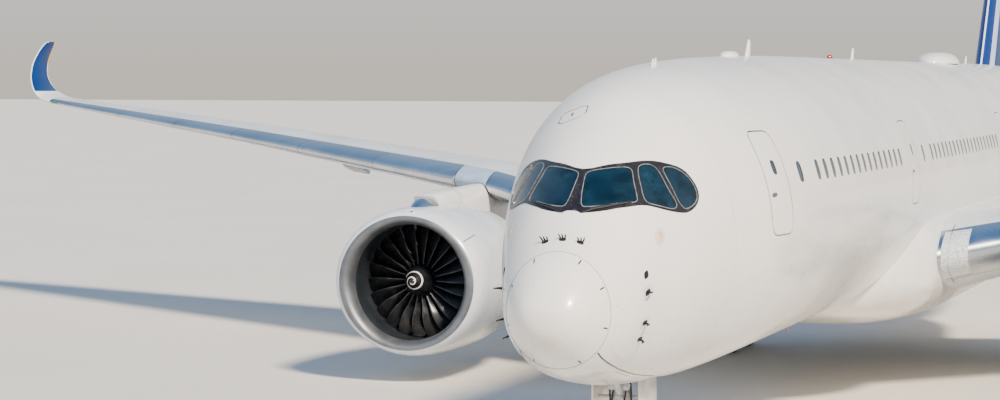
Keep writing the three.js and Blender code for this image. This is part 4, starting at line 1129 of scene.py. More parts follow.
# a canoe below the wing: four fifths of the way round are its hull, the rest its flat top
def trackBm(track):
    x, aft, length, width, depth = track
    hull = 0.8

    def surface(u, v):
        share = (1 - math.cos(math.pi * v)) / 2
        full = float(monotone(trackFull[:, 0], trackFull[:, 1], share))
        at = aft + share * length
        middle = middleAt(wingRows, wingShape["camber"], x, at)
        if u <= hull:
            angle = math.pi * u / hull
            across, down = math.cos(angle), math.sin(angle)
            across = math.copysign(abs(across) ** 0.75, across)
        else:
            across, down = -1 + 2 * (u - hull) / (1 - hull), 0
        return place(x + width / 2 * full * across, at, middle - depth * full * down)

    return closedGrid(40, 40, surface)


def onLine(ends, x):
    first, last = Vector(ends[0]), Vector(ends[1])
    return first + (last - first) * (x - first.x) / (last.x - first.x)


def loweredEnds(name):
    ends, _ = edgeEnds(wingShape[name])
    return [(x, aft, z - wingShape["hingeDrop"][name]) for x, aft, z in ends]


def knuckles(name, grow):
    line = loweredEnds(name)
    radius, length = wingShape["knuckle"]
    found = [track for track in wingShape["tracks"] if line[0][0] < track[0] < line[1][0]]
    half = length / 2 + grow
    return [barBm(onLine(line, t[0] - half), onLine(line, t[0] + half), radius + grow) for t in found]


def railBms(name, grow):  # square rails on an arc about the hinge line
    line = loweredEnds(name)
    radius = wingShape["hingeDrop"][name]
    axis = (place(*line[1]) - place(*line[0])).normalized()
    out = axis.cross(Vector((0, 0, 1)).cross(axis)).normalized()
    half = (wingShape["railSize"] / 2 + grow) * scaleOf["model"]
    rails = []
    for x in wingShape["rails"][name]:
        spot = onLine(line, x)
        centre = place(*spot)
        middle = centre + out * radius * scaleOf["model"]
        bm = bmesh.new()
        corners = [
            middle + axis * a * half + out * b * half for a, b in ((-1, -1), (1, -1), (1, 1), (-1, 1))
        ]
        face = bm.faces.new([bm.verts.new(corner) for corner in corners])
        bmesh.ops.spin(
            bm, geom=[*face.edges, *face.verts], cent=centre, axis=axis, angle=2 * math.pi, steps=96,
            use_merge=True,
        )
        first = [face for face in bm.faces if (face.calc_center_median() - middle).length < 1e-6]
        bmesh.ops.delete(bm, geom=first, context="FACES_ONLY")
        bmesh.ops.remove_doubles(bm, verts=bm.verts, dist=1e-6)
        back = spot.y + wingShape["railReach"] + 7 * grow
        box = boxBm(x - 0.5, x + 0.5, spot.y - 0.2, back, spot.z + radius / 2, spot.z + 2 * radius)
        rails.append(keptIn(outward(bm), box))
    return rails


def beyond(ends, distance):
    first, last = Vector(ends[0]), Vector(ends[1])
    step = (last - first).normalized() * distance
    return first - step, last + step


def splitAtHinge(bm, ends, reach, radii):  # the moving piece and what stays
    run = wingShape["run"]
    nose = barBm(*ends, *radii, 48)
    socket = barBm(*beyond(ends, run), radii[0] + run, radii[1] + run, 48)
    solid = carved(slabBm(*ends, reach), [("UNION", nose)])
    return keptIn(bm.copy(), solid), [slabBm(*ends, reach, run), socket]


def slopedFront(bm, corners, thickness, slope, room):  # leaves room for the front edge when the panel rises
    start, end, rear = (place(*corner) for corner in corners)
    along = (end - start).normalized()
    up = along.cross(rear - start).normalized()
    back = up.cross(along)
    down = back * math.sin(math.radians(slope)) - up * math.cos(math.radians(slope))
    hinge = start + (up * thickness + back * room) * scaleOf["model"]
    for normal in (down.cross(along).normalized(), back):
        geometry = [*bm.verts, *bm.edges, *bm.faces]
        if normal.dot(back) < 0:
            normal = -normal
        bmesh.ops.bisect_plane(
            bm, geom=geometry, dist=1e-6, plane_co=hinge, plane_no=normal, clear_inner=True
        )
        bmesh.ops.holes_fill(bm, edges=[edge for edge in bm.edges if edge.is_boundary], sides=0)
    return outward(bm)


def portWing():
    run, slip = wingShape["run"], wingShape["slip"]
    bare = bareWing()
    corners, reach = wingShape["spoilerCorners"], wingShape["spoilerReach"]
    spoiler = keptIn(bare.copy(), plateBm(corners, reach))
    pieces = {"spoiler": slopedFront(spoiler, corners, *wingShape["spoilerFront"])}
    steps = [("UNION", trackBm(track)) for track in wingShape["tracks"]]
    wing = carved(bare, [*steps, ("DIFFERENCE", plateBm(corners, reach, run))])
    cutters = []
    for name in ("inboard_flap", "outboard_flap", "slats", "droop_nose"):
        ends, reach = edgeEnds(wingShape[name])
        pieces[name] = keptIn(wing.copy(), slabBm(*ends, reach))
        cut = slabBm(*ends, reach, run)
        if name == "slats":  # its inner end runs with the airflow
            inner = wingShape["fixedEdge"][1]
            pieces[name] = keptIn(pieces[name], boxBm(inner, 40, 20, 50, 0, 10))
            cut = keptIn(cut, boxBm(inner - run, 40, 20, 50, 0, 10))
        seating = railBms if name in wingShape["rails"] else knuckles
        cutters += [cut, *seating(name, slip)]
        pieces[name] = carved(pieces[name], [("UNION", part) for part in seating(name, 0)])
    pieces["aileron"], away = splitAtHinge(wing, *edgeEnds(wingShape["aileron"]), wingShape["aileronNose"])
    pieces["wing"] = cutAway(wing, *cutters, *away)
    return pieces


def wingletBm():
    rows = 48
    knots = np.arange(len(wingletRows), dtype=float)
    spots = np.linspace(0, knots[-1], rows + 1)
    smooth = [np.array([float(monotone(knots, wingletRows[:, k], t)) for t in spots]) for k in range(6)]

    def surface(u, v):
        *row, cant = (column[round(v * rows)] for column in smooth)
        return place(*sectionPoint((*row, wingShape["tipTwist"]), u, wingShape["camber"], cant))

    lead, rear = ([surface(u, i / rows) for i in range(rows + 1)] for u in (0.5, 0.0))
    return edgeDistances(closedGrid(72, rows, surface), lead, rear)


def nearestOn(line, point):
    best = math.inf
    for first, last in zip(line, line[1:]):
        step = last - first
        share = min(max((point - first).dot(step) / step.length_squared, 0), 1)
        best = min(best, (first + step * share - point).length)
    return best / scaleOf["model"]


# the UV map holds how far each corner lies from the front and the rear edge
def edgeDistances(bm, lead, rear):
    layer = bm.loops.layers.uv.new("edges")
    for vert in bm.verts:
        found = (nearestOn(lead, vert.co), nearestOn(rear, vert.co))
        for loop in vert.link_loops:
            loop[layer].uv = found
    return bm


def frontBand(bm, rows, low, high, index=1):  # faces before a clean cut behind the leading edge change finish
    most, share = wingShape["metalEdge"]
    ends = [rowAt(rows, x) for x in (low, high)]
    first, last = (place(row[0], row[1] + min(most, share * row[3]), row[2]) for row in ends)
    along = (last - first).normalized()
    planes = [(first, Vector((-along.y, along.x, 0))), (first, Vector((-1, 0, 0))), (last, Vector((1, 0, 0)))]
    for spot, normal in planes:
        near = [face for face in bm.faces if first.x - 0.2 < face.calc_center_median().x < last.x + 0.2]
        geom = list({item for face in near for item in (*face.verts, *face.edges, face)})
        bmesh.ops.bisect_plane(bm, geom=geom, dist=1e-6, plane_co=spot, plane_no=normal)
    for face in bm.faces:
        centre = face.calc_center_median()
        if all((centre - spot).dot(normal) < 0 for spot, normal in planes):
            face.material_index = index
    return bm


def edgeJointBm(x, share=0.105, wide=24):  # a dark sealed joint that wraps round the leading edge
    row = rowAt(wingRows, x)
    turn = math.acos(2 * share - 1) / (2 * math.pi)
    points = [place(*sectionPoint(row, u, wingShape["camber"])) for u in np.linspace(turn, 1 - turn, 33)]
    middle = (points[0] + points[-1]) / 2
    ups = [(point - middle).normalized() for point in points[1:-1]]
    return ribbonBm(points[1:-1], ups, [mm(wide)] * len(ups), mm(4))


def slatSegments(bm):
    ends, reach = edgeEnds(wingShape["slats"])
    step = (Vector(ends[1]) - Vector(ends[0])).normalized() * wingShape["slatGap"] / 2
    spots = [onLine(ends, x) for x in wingShape["slatJoints"]]
    return cutAway(bm, *(slabBm(spot - step, spot + step, reach) for spot in spots))


wingFinishes = {
    "slats": ([wingPaint, polishedEdge], "bare_metal"),
    "droop_nose": ([wingPaint, polishedEdge], "bare_metal"),
    "wing": ([wingPaint, polishedEdge, edgeFairingPaint], "wing_grey"),
    "winglet": ([wingletPaint], "blue_paint"),
}
frontBands = {
    # piece: the stretches of its front that change finish, from x, to x, finish
    "slats": [(11, 30.5, 1)],
    "droop_nose": [(4.3, 9.0, 1)],
    "wing": [
        (2.98, 4.5, 1), (8.6, wingShape["fixedEdge"][0], 1), (*wingShape["fixedEdge"], 2), (29.6, 30.9, 1),
    ],
}
wingPieces = portWing()
wingPieces["winglet"] = wingletBm()
wingPieces["slats"] = slatSegments(wingPieces["slats"])
for name, bm in wingPieces.items():
    finishes, slotName = wingFinishes.get(name, ([wingPaint], "wing_grey"))
    for low, high, index in frontBands.get(name, ()):
        frontBand(bm, wingRows, low, high, index)
    skinnedPair(name, bm, slotName, finishes)
report("wings")

# belly fairing
fairingRows = np.array([
    # aft, bottom, half width
    [19.2, 2.5, 1.2],
    [20.6, 2.12, 2.45],
    [22.6, 1.86, 3.08],
    [26.0, 1.75, 3.26],
    [36.0, 1.75, 3.26],
    [39.5, 1.92, 2.95],
    [42.0, 2.2, 2.2],
    [43.4, 2.55, 1.1],
])
fairing = {"top": 5.0, "squareness": 3.0, "rows": 90, "around": 144}


def fairingBm(rise=0.0):
    low, high = fairingRows[0, 0], fairingRows[-1, 0]
    spots = np.linspace(low, high, fairing["rows"] + 1)
    bottoms = monotone(fairingRows[:, 0], fairingRows[:, 1], spots)
    halves = monotone(fairingRows[:, 0], fairingRows[:, 2], spots)
    power = 2 / fairing["squareness"]

    def surface(u, v):
        i = round(v * fairing["rows"])
        middle = (fairing["top"] + bottoms[i]) / 2
        height = (fairing["top"] - bottoms[i]) / 2
        s, c = math.sin(2 * math.pi * u), math.cos(2 * math.pi * u)
        across = math.copysign(abs(s) ** power, s) * halves[i]
        up = math.copysign(abs(c) ** power, c) * height
        return place(across, spots[i], middle + up + rise)

    return closedGrid(fairing["around"], fairing["rows"], surface)


def mainDoorBm():
    bay = bays["main"]
    reach = boxBm(bay["inner"], bay["outer"], bay["front"], bay["back"], 0, 2.6)
    return keptIn(cutAway(fairingBm(), fairingBm(bay["skin"])), reach)


def noseDoorBm():
    bay = bays["nose"]
    slab = slabBm(*doorEnds, bay["half"] - bays["gap"] / 2)
    return keptIn(shellBm(1.3, bay["back"], 0, -bay["skin"], 0.09), slab, boxBm(0, 2, 1, bay["back"], 0, 3.4))


def cargoDoorBm(front, back, sill, head):
    skin = shellBm(front - 1, back + 1, 0, -holds["skin"], 0.2)
    return keptIn(skin, boxBm(-4, -1.5, front, back, sill, head))


skinned("belly_fairing", cutAway(fairingBm(), *mainBayCuts()), "white_paint", [whitePaint], 35)
skinnedPair("main_gear_door", mainDoorBm(), "white_paint", [whitePaint], 35)
skinnedPair("nose_gear_door", noseDoorBm(), "white_paint", [whitePaint], 35)
for name, limits in cargoDoors.items():
    skinned(name, cargoDoorBm(*limits), "white_paint", [whitePaint, primer], 35)
report("fairing and doors")


# engines
engine = {
    "x": 10.42,
    "z": 2.63,
    "front": 21.68,
    "steps": 144,
    "flattened": (1.55, 1.85, 1.04, 0.966),
    # the profiles hold how far aft of the lip's foremost point, and the radius
    "outer": [
        (0, 1.7), (0.01, 1.74), (0.035, 1.785), (0.08, 1.84), (0.16, 1.895), (0.3, 1.945), (0.5, 1.976),
        (0.8, 1.998), (1.2, 2.014), (1.7, 2.02), (2.4, 2.015), (3.1, 2.0), (3.8, 1.945), (4.4, 1.87),
        (5.1, 1.745), (5.7, 1.6),
    ],
    "lipInner": [
        (0, 1.7), (0.012, 1.66), (0.045, 1.615), (0.11, 1.568), (0.22, 1.526), (0.36, 1.502), (0.55, 1.49),
        (0.75, 1.492), (1.1, 1.513),
    ],
    "duct": 1.52,
    "lipEnd": 0.38,
    "cowlJoint": 1.3,
    "sleeveJoint": 3.1,
    "cascade": (3.75, 1.56),
    "sleeveInner": [(4.4, 1.6), (5.66, 1.56)],
    "core": [
        (1.36, 0), (1.36, 0.12), (1.6, 0.12), (1.6, 0.3), (1.8, 0.5), (2.6, 0.62), (3.0, 0.8), (3.4, 0.95),
        (4.1, 0.99), (4.8, 1.0), (5.4, 0.93), (6.0, 0.82), (6.6, 0.66),
    ],
    "plug": [(6.6, 0.42), (6.9, 0.28), (7.3, 0.1), (7.4, 0)],  # of the room that the pylon leaves
    "nozzle": [
        (6.6, 0.635), (6.2, 0.66), (6.05, 0.6), (6.05, 0.47), (6.3, 0.46), (6.6, 0.42), (6.95, 0.27),
        (7.3, 0.1), (7.4, 0),
    ],
    "vanes": {
        "front": 2.25, "back": 2.62, "count": 44, "tip": 1.53, "root": 0.6, "thickness": 0.028, "bow": 0.03,
    },
}


def engineSpot(along, radius, angle=0.0):  # the cowls are a little wider than tall, the duct in them round
    low, high, wide, tall = engine["flattened"]
    share = min(max((radius - low) / (high - low), 0), 1)
    across = radius * math.sin(angle) * (1 + (wide - 1) * share)
    up = radius * math.cos(angle) * (1 + (tall - 1) * share)
    return place(engine["x"] + across, engine["front"] + along, engine["z"] + up)


def spunBm(profile, steps=engine["steps"]):  # turned on the engine's line
    spots = [place(engine["x"], engine["front"] + along, engine["z"] + radius) for along, radius in profile]
    bm = turned(spots, engineSpot(0, 0), (0, 1, 0), steps)
    for vert in bm.verts:
        across, up = vert.co.x / scaleOf["model"] - engine["x"], vert.co.z / scaleOf["model"] - engine["z"]
        vert.co = engineSpot(engineAlong(vert.co), math.hypot(across, up), math.atan2(across, up))
    return outward(bm)


def engineAft(along):
    return engine["front"] + along


def engineRadius(point):  # of the round shape that was flattened into this one
    low, high, wide, tall = engine["flattened"]
    across, up = point.x / scaleOf["model"] - engine["x"], point.z / scaleOf["model"] - engine["z"]
    radius = math.hypot(across, up)
    for _ in range(5):  # each step comes closer to the round radius
        share = min(max((radius - low) / (high - low), 0), 1)
        radius = math.hypot(across / (1 + (wide - 1) * share), up / (1 + (tall - 1) * share))
    return radius


def engineAlong(point):
    return point.y / scaleOf["model"] + scaleOf["length"] / 2 - engine["front"]


def banded(bm, chooser):
    for face in bm.faces:
        centre = face.calc_center_median()
        face.material_index = chooser(engineAlong(centre), engineRadius(centre))
    return bm


def outerRadius(along):
    return float(np.interp(along, *np.array(engine["outer"]).T))


def finerBetween(low, high, step=0.1):  # the cowl's outer line, in small steps
    aft, values = np.array(engine["outer"]).T
    spots = np.linspace(low, high, max(2, round((high - low) / step) + 1))
    return [(float(a), float(monotone(aft, values, a))) for a in spots]


def inletCowl():
    joint = engine["cowlJoint"]
    outside = [(a, r) for a, r in engine["outer"] if a < 0.5] + finerBetween(0.5, joint)
    profile = outside + [(joint, engine["duct"])] + engine["lipInner"][:0:-1] + [outside[0]]

    def chooser(along, radius):
        if radius > max(outerRadius(along) - 0.04, 1.81):
            return 0
        return 1 if along < engine["lipEnd"] else 2

    return banded(spunBm(profile), chooser)


def fanCowl():
    joint, back = engine["cowlJoint"], engine["sleeveJoint"]
    cascadeBack, cascadeRadius = engine["cascade"]
    profile = finerBetween(joint, back)
    profile += [(back, cascadeRadius), (cascadeBack, cascadeRadius), (cascadeBack, engine["duct"])]
    profile += [(joint, engine["duct"]), profile[0]]
    return banded(spunBm(profile), lambda along, radius: 0 if radius > 1.9 and along < back - 0.01 else 1)


def reverserSleeve():
    front = engine["sleeveJoint"] + wingShape["run"]
    cascadeBack, cascadeRadius = engine["cascade"]
    ring = cascadeRadius + wingShape["slip"]
    profile = finerBetween(front, engine["outer"][-1][0])
    inner = engine["sleeveInner"][::-1] + [(cascadeBack + 0.2, ring), (front, ring)]
    bm = spunBm(profile + inner + [profile[0]])
    return banded(bm, lambda along, radius: 0 if radius > 1.63 or along > 5.55 else 1)


def ribbonBm(points, ups, widths, height):  # a flat raised stripe along a line of model places
    def surface(u, v):
        i = round(v * (len(points) - 1))
        ahead = (points[min(i + 1, len(points) - 1)] - points[max(i - 1, 0)]).normalized()
        side = ups[i].cross(ahead).normalized() * widths[i] / 2
        across, rise = ((-1, -1), (1, -1), (1, 1), (-1, 1))[round(u * 4) % 4]
        return points[i] + side * across + ups[i] * rise * height

    return closedGrid(4, len(points) - 1, surface)


def evenRibbon(points, ups, wide, rise):  # a stripe of one width, in millimetres
    return ribbonBm(points, ups, [mm(wide)] * len(points), mm(rise))


fan = {
    "blades": 22,
    "spinner": [
        (0.45, 0), (0.456, 0.03), (0.48, 0.075), (0.53, 0.125), (0.6, 0.172), (0.7, 0.235), (0.85, 0.318),
        (0.97, 0.377), (1.1, 0.425), (1.3, 0.445), (1.55, 0.45),
    ],
    "bore": [(1.55, 0.3), (1.2, 0.3), (1.2, 0)],
    # share of the blade, twist, chord, thickness, sweep
    "blade": [
        (0, 22, 0.42, 0.05, 0.03), (0.25, 34, 0.46, 0.036, 0.0), (0.5, 45, 0.52, 0.026, -0.05),
        (0.75, 53, 0.55, 0.018, -0.03), (1, 60, 0.5, 0.012, 0.05),
    ],
    "camber": 0.05,
    "edgeFaces": 0.00035,  # square metres: only the narrow faces of the edges are smaller
    "root": 0.4,
    "tip": 1.485,
    "middle": 1.3,
    "spiral": {"turns": 1.85, "inner": 0.035, "outer": 0.275, "width": 0.05, "start": 2.1},
}


def bladeBm(turn):
    table = np.array(fan["blade"], dtype=float)

    def surface(u, v):
        twist, chord, thickness, sweep = (float(monotone(table[:, 0], table[:, k], v)) for k in range(1, 5))
        side = 1 if u < 0.5 else -1
        radius = fan["root"] + (fan["tip"] - fan["root"]) * v
        share = (1 + math.cos(2 * math.pi * u)) / 2
        belly = max(0, 4 * share * (1 - share))
        off = fan["camber"] * belly * chord + side * thickness / 2 * math.sqrt(belly) ** 0.7
        pitch = math.radians(twist)
        back = (share - 0.5) * chord
        along = fan["middle"] + sweep + back * math.cos(pitch) - off * math.sin(pitch)
        across = back * math.sin(pitch) + off * math.cos(pitch)
        reach = math.hypot(radius, across) if v < 1 else radius
        return engineSpot(along, reach, turn + math.atan2(across, radius))

    bm = closedGrid(24, 16, surface)
    for face in bm.faces:  # the narrow faces along the edges take the metal sheath
        face.material_index = 1 if len(face.verts) == 4 and face.calc_area() < fan["edgeFaces"] else 0
    return bm


def fanBm():
    blades = [bladeBm(2 * math.pi * i / fan["blades"]) for i in range(fan["blades"])]
    hub = painted(spunBm(fan["spinner"] + fan["bore"], steps=72), 2)
    return joined([*blades, hub, painted(spiralBm(), 3)])


def spiralBm():  # the white painted comma on the spinner
    spiral = fan["spiral"]
    alongs, radii = np.array(fan["spinner"]).T
    points, ups, widths = [], [], []
    for t in np.linspace(0, 1, 121):
        radius = spiral["inner"] + (spiral["outer"] - spiral["inner"]) * t
        angle = spiral["start"] + 2 * math.pi * spiral["turns"] * t
        before, along, after = np.interp((radius - 0.01, radius, radius + 0.01), radii, alongs)
        points.append(engineSpot(along - 0.002, radius, angle))
        tilt = math.atan2(after - before, 0.02)
        lean = math.sin(tilt)
        ups.append(Vector((math.sin(angle) * lean, -math.cos(tilt), math.cos(angle) * lean)))
        widths.append(spiral["width"] * min(1, 0.25 + 1.5 * t, 0.2 + 8 * (1 - t)) * scaleOf["model"])
    return ribbonBm(points, ups, widths, mm(4))


def vaneBm(turn):  # a guide vane behind the fan
    vanes = engine["vanes"]

    def surface(u, v):
        radius = vanes["root"] + (vanes["tip"] - vanes["root"]) * v
        share = (1 + math.cos(2 * math.pi * u)) / 2
        half = (1 if u < 0.5 else -1) * vanes["thickness"] / 2 * math.sin(math.pi * share)
        along = vanes["front"] + share * (vanes["back"] - vanes["front"])
        return engineSpot(along, radius, turn + (vanes["bow"] * 4 * share * (1 - share) + half) / radius)

    return closedGrid(10, 3, surface)


def coreBm():
    count = engine["vanes"]["count"]
    vanes = [painted(vaneBm(2 * math.pi * (i + 0.5) / count), 1) for i in range(count)]
    return joined([spunBm(engine["core"] + engine["nozzle"], steps=96), *vanes])


pylon = {
    # the side view holds how far aft of the lip, and z; half is half the width there
    "top": [
        (1.2, 4.83), (1.4, 4.86), (2.0, 4.9), (2.7, 4.93), (4.26, 4.95), (5.66, 4.98), (6.2, 4.99),
        (8.5, 4.95), (10.8, 4.8), (11.4, 4.5),
    ],
    "bottom": [
        (1.2, 4.46), (1.8, 4.42), (3.2, 4.38), (3.3, 4.3), (3.42, 3.5), (3.6, 3.4), (6.4, 3.4), (9.2, 3.85),
        (11.4, 4.4),
    ],
    "half": [(1.2, 0.28), (1.6, 0.33), (2.2, 0.36), (7.0, 0.36), (9.5, 0.26), (11.4, 0.05)],
    "mouth": [(0.9, 5.1), (1.3, 5.1), (1.42, 4.8), (1.75, 4.5), (1.8, 4.2), (0.9, 4.2)],
    "nose": {"front": 0.62, "back": 2.6, "crest": 1.6, "half": 0.315, "foot": 4.3, "top": 4.8},
    "squareness": 2.8,
    "seal": 0.03,
    "slotHalf": 0.36,
}


def pylonBm(grow=0.0):
    spots = np.linspace(pylon["top"][0][0], pylon["top"][-1][0], 90)
    top, bottom, half = (monotone(*np.array(pylon[name]).T, spots) for name in ("top", "bottom", "half"))
    power = 2 / pylon["squareness"]

    def surface(u, v):
        i = round(v * (len(spots) - 1))
        s, c = math.sin(2 * math.pi * u), math.cos(2 * math.pi * u)
        across = math.copysign(abs(s) ** power, s) * (half[i] + grow)
        up = math.copysign(abs(c) ** power, c) * ((top[i] - bottom[i]) / 2 + grow)
        return place(engine["x"] + across, engine["front"] + spots[i], (top[i] + bottom[i]) / 2 + up)

    return closedGrid(48, len(spots) - 1, surface)


def pylonNoseBm():  # the rounded metal dome below the pylon's front edge
    nose = pylon["nose"]

    def surface(u, v):
        along = nose["front"] + (nose["back"] - nose["front"]) * (1 - math.cos(math.pi * v)) / 2
        ahead = along < nose["crest"]
        share = (nose["crest"] - along) / (nose["crest"] - nose["front" if ahead else "back"])
        full = math.sqrt(max(1 - share**2, 0))
        s, c = math.sin(2 * math.pi * u), math.cos(2 * math.pi * u)
        up = (nose["top"] - nose["foot"]) * full ** (0.7 if ahead else 0.3) * max(c, 0) ** 0.8
        across = nose["half"] * full**0.8 * s
        foot = nose["foot"] - (0.05 if c < 0 else 0)
        return place(engine["x"] + across, engine["front"] + along, foot + up)

    return closedGrid(48, 32, surface)


def pylonSealBm():  # the dark seal where the pylon meets the leading edge
    ahead = bareWing()
    bmesh.ops.translate(ahead, vec=(0, -pylon["seal"] * scaleOf["model"], 0), verts=ahead.verts)
    front = boxBm(9, 12, engineAft(3), engineAft(7), 4, 6)
    return keptIn(cutAway(keptIn(pylonBm(0.014), ahead), bareWing()), front)


def pylonPiece():  # its front slants, and it leaves room for the core and the wing
    mouth = prismBm([(engineAft(along), z) for along, z in pylon["mouth"]], engine["x"] - 1, engine["x"] + 1)
    body = [(a, r + 0.004) for a, r in engine["core"][1:] + engine["plug"][:-1]]
    room = spunBm([(1.3, 0), *body, engine["plug"][-1]], steps=96)
    return cutAway(cutAway(pylonBm(), room, bareWing()), mouth)


def pylonSlot(gap):
    half = pylon["slotHalf"] + gap
    return boxBm(engine["x"] - half, engine["x"] + half, engineAft(1.5), engineAft(7), 3.3, 6)


cowlDetails = {
    "latches": {
        "along": (1.55, 1.95, 2.35, 2.75), "half": 0.05, "long": 0.2, "z": (0.672, 0.695), "edge": 0.008,
    },
    "line": {"from": 0.06, "to": 0.86, "degrees": -52.6, "drift": 0.05},
    # rings of the vent: share of its size, rise above the skin
    "ventRings": [(1.0, 0.01), (1.25, 0.0), (1.25, 0.03), (0.82, 0.03), (0.0, 0.005)],
    "vent": {"along": 0.2, "degrees": 1, "half": (0.075, 0.14), "sunk": 0.008},
    "ventMouth": {"along": 0.17, "x": -0.066, "half": (0.036, 0.06)},
}


def cowlLatches():  # toggle latches along the fan cowl's lower joint
    row = cowlDetails["latches"]
    x1, x2 = engine["x"] - row["half"], engine["x"] + row["half"]
    aft = [engineAft(along) for along in row["along"]]
    return joined([bevelled(boxBm(x1, x2, spot, spot + row["long"], *row["z"]), row["edge"]) for spot in aft])


def cowlLineBm():  # the dark line on the inboard side, from the lip back: a painted shadow line
    line = cowlDetails["line"]
    turn = math.radians(line["degrees"])
    points = [
        engineSpot(a, outerRadius(a), turn + line["drift"] * (a - line["from"]))
        for a in np.linspace(line["from"], line["to"], 17)
    ]
    return evenRibbon(points, [Vector((math.sin(turn), 0, math.cos(turn)))] * len(points), 22, 2)


def ventBm():  # the small flush air inlet on the crown of the intake: a pale lip round a mouth painted dark as the shade inside it
    vent, mouth, rings = cowlDetails["vent"], cowlDetails["ventMouth"], cowlDetails["ventRings"]

    def surface(u, v):
        turn = 2 * math.pi * u
        out, rise = rings[round(v * (len(rings) - 1))]
        along = vent["along"] + vent["half"][0] * out * math.cos(turn)
        angle = math.radians(vent["degrees"]) + vent["half"][1] / 1.9 * out * math.sin(turn)
        return engineSpot(along, outerRadius(along) + rise - vent["sunk"], -angle)

    bm = closedGrid(24, len(rings) - 1, surface)
    for face in bm.faces:
        centre = face.calc_center_median()
        back = abs(engineAlong(centre) - mouth["along"])
        side = abs(centre.x / scaleOf["model"] - engine["x"] - mouth["x"])
        face.material_index = 1 if back < mouth["half"][0] and side < mouth["half"][1] else 0
    return bm


cowlPaint = [nacellePaint, ductLiner]
fanFinishes = [fanBlade, bladeEdge, fanBlade, whitePaint]
skinnedPair("inlet_cowl", inletCowl(), "bare_metal", [nacellePaint, lipMetal, ductLiner], 32)
skinnedPair("fan_cowl", cutAway(fanCowl(), pylonBm(0.004)), "white_paint", cowlPaint, 32)
sleeve = cutAway(reverserSleeve(), pylonSlot(wingShape["run"]))
skinnedPair("reverser_sleeve", sleeve, "white_paint", cowlPaint, 32)
skinnedPair("fan", fanBm(), "fan_black", fanFinishes, 32)
skinnedPair("engine_core", coreBm(), "core_metal", [coreMetal, ductLiner], 32)
skinnedPair("pylon", pylonPiece(), "white_paint", [whitePaint], 32)
fitted("pylon_nose", pylonNoseBm(), [polishedEdge], "bare_metal", smooth=30)
fitted("pylon_seal", pylonSealBm(), [hoseRubber], "dark_surround", smooth=30)
fitted("cowl_latches", cowlLatches(), [steel], "bare_metal", smooth=30)
fitted("cowl_shadow_line", cowlLineBm(), [hoseRubber], "dark_surround", smooth=30)
# the vent's mouth takes the dark hose rubber as a painted shade
fitted("cowl_vent", ventBm(), [nacellePaint, hoseRubber], "white_paint", smooth=30)
report("engines")


# tail surfaces
finRows = np.array([
    # height, leading edge aft, offset, chord, thickness, twist
    [7.6, 51.7, 0, 9.6, 0.1, 0],
    [8.42, 52.4, 0, 8.95, 0.1, 0],
    [12.6, 55.75, 0, 6.05, 0.1, 0],
    [16.9, 59.28, 0, 3.04, 0.095, 0],
    [16.98, 59.36, 0, 2.99, 0.085, 0],
    [17.03, 59.42, 0, 2.93, 0.06, 0],
    [17.05, 59.5, 0, 2.84, 0.02, 0],
])
tailplaneRows = np.array([
    # x, leading edge aft, its z, chord, thickness, twist
    [0.55, 56.6, 6.95, 6.1, 0.1, 0],
    [9.1, 62.8, 7.918, 2.27, 0.09, 0],
    [9.26, 62.93, 7.936, 2.18, 0.08, 0],
    [9.34, 63.05, 7.945, 2.08, 0.055, 0],
    [9.38, 63.2, 7.95, 1.94, 0.02, 0],
])
tail = {
    "rudder": (9.35, 58.87, 16.5, 61.3, 4),
    "rudderNose": (0.262, 0.101),
    "elevator": (2.3, 61.55, 8.95, 64.35, 3),
    "elevatorNose": (0.16, 0.063),
    "step": 0.6,
    "around": 72,
    # the stretch of fuselage that the roots meet, and how deep they reach into its skin
    "finRoot": (50, 64, -0.02),
    "planeRoot": (54, 66.5, -0.02),
    "bareEdge": (0.56, 9.1),
}


def planeBm(rows):
    spots = spotsBetween(rows, tail["step"])
    return closedGrid(tail["around"], len(spots) - 1, planeSurface(rows, spots, 0.0))


def upright(bm):  # stands a surface that was made lying down, its span upwards
    swap = Matrix(((0, 0, 1), (0, 1, 0), (1, 0, 0))).to_4x4()
    bmesh.ops.transform(bm, matrix=swap, verts=bm.verts)
    bmesh.ops.reverse_faces(bm, faces=bm.faces)
    return bm


def addFin():
    whole = planeBm(finRows)
    ends, reach = edgeEnds(tail["rudder"], finRows, 0.0)
    rudder, cutters = splitAtHinge(whole, [(x, aft, 0) for x, aft, _ in ends], reach, tail["rudderNose"])
    fin = cutAway(upright(cutAway(whole, *cutters)), hullBm(*tail["finRoot"]))
    lines = [[place(0, row[1] + back * row[3], row[0]) for row in finRows] for back in (0, 1)]
    skinned("fin", edgeDistances(fin, *lines), "blue_paint", [finPaint])
    skinned("rudder", upright(rudder), "blue_paint", [rudderPaint])


def addTailplanes():
    whole = planeBm(tailplaneRows)
    ends, reach = edgeEnds(tail["elevator"], tailplaneRows, 0.0)
    elevator, cutters = splitAtHinge(whole, ends, reach, tail["elevatorNose"])
    plane = cutAway(whole, *cutters, hullBm(*tail["planeRoot"]))
    plane = frontBand(plane, tailplaneRows, *tail["bareEdge"])
    skinnedPair("tailplane", plane, "white_paint", [wingPaint, polishedEdge])
    skinnedPair("elevator", elevator, "white_paint", [wingPaint])


addFin()
addTailplanes()
report("tail")


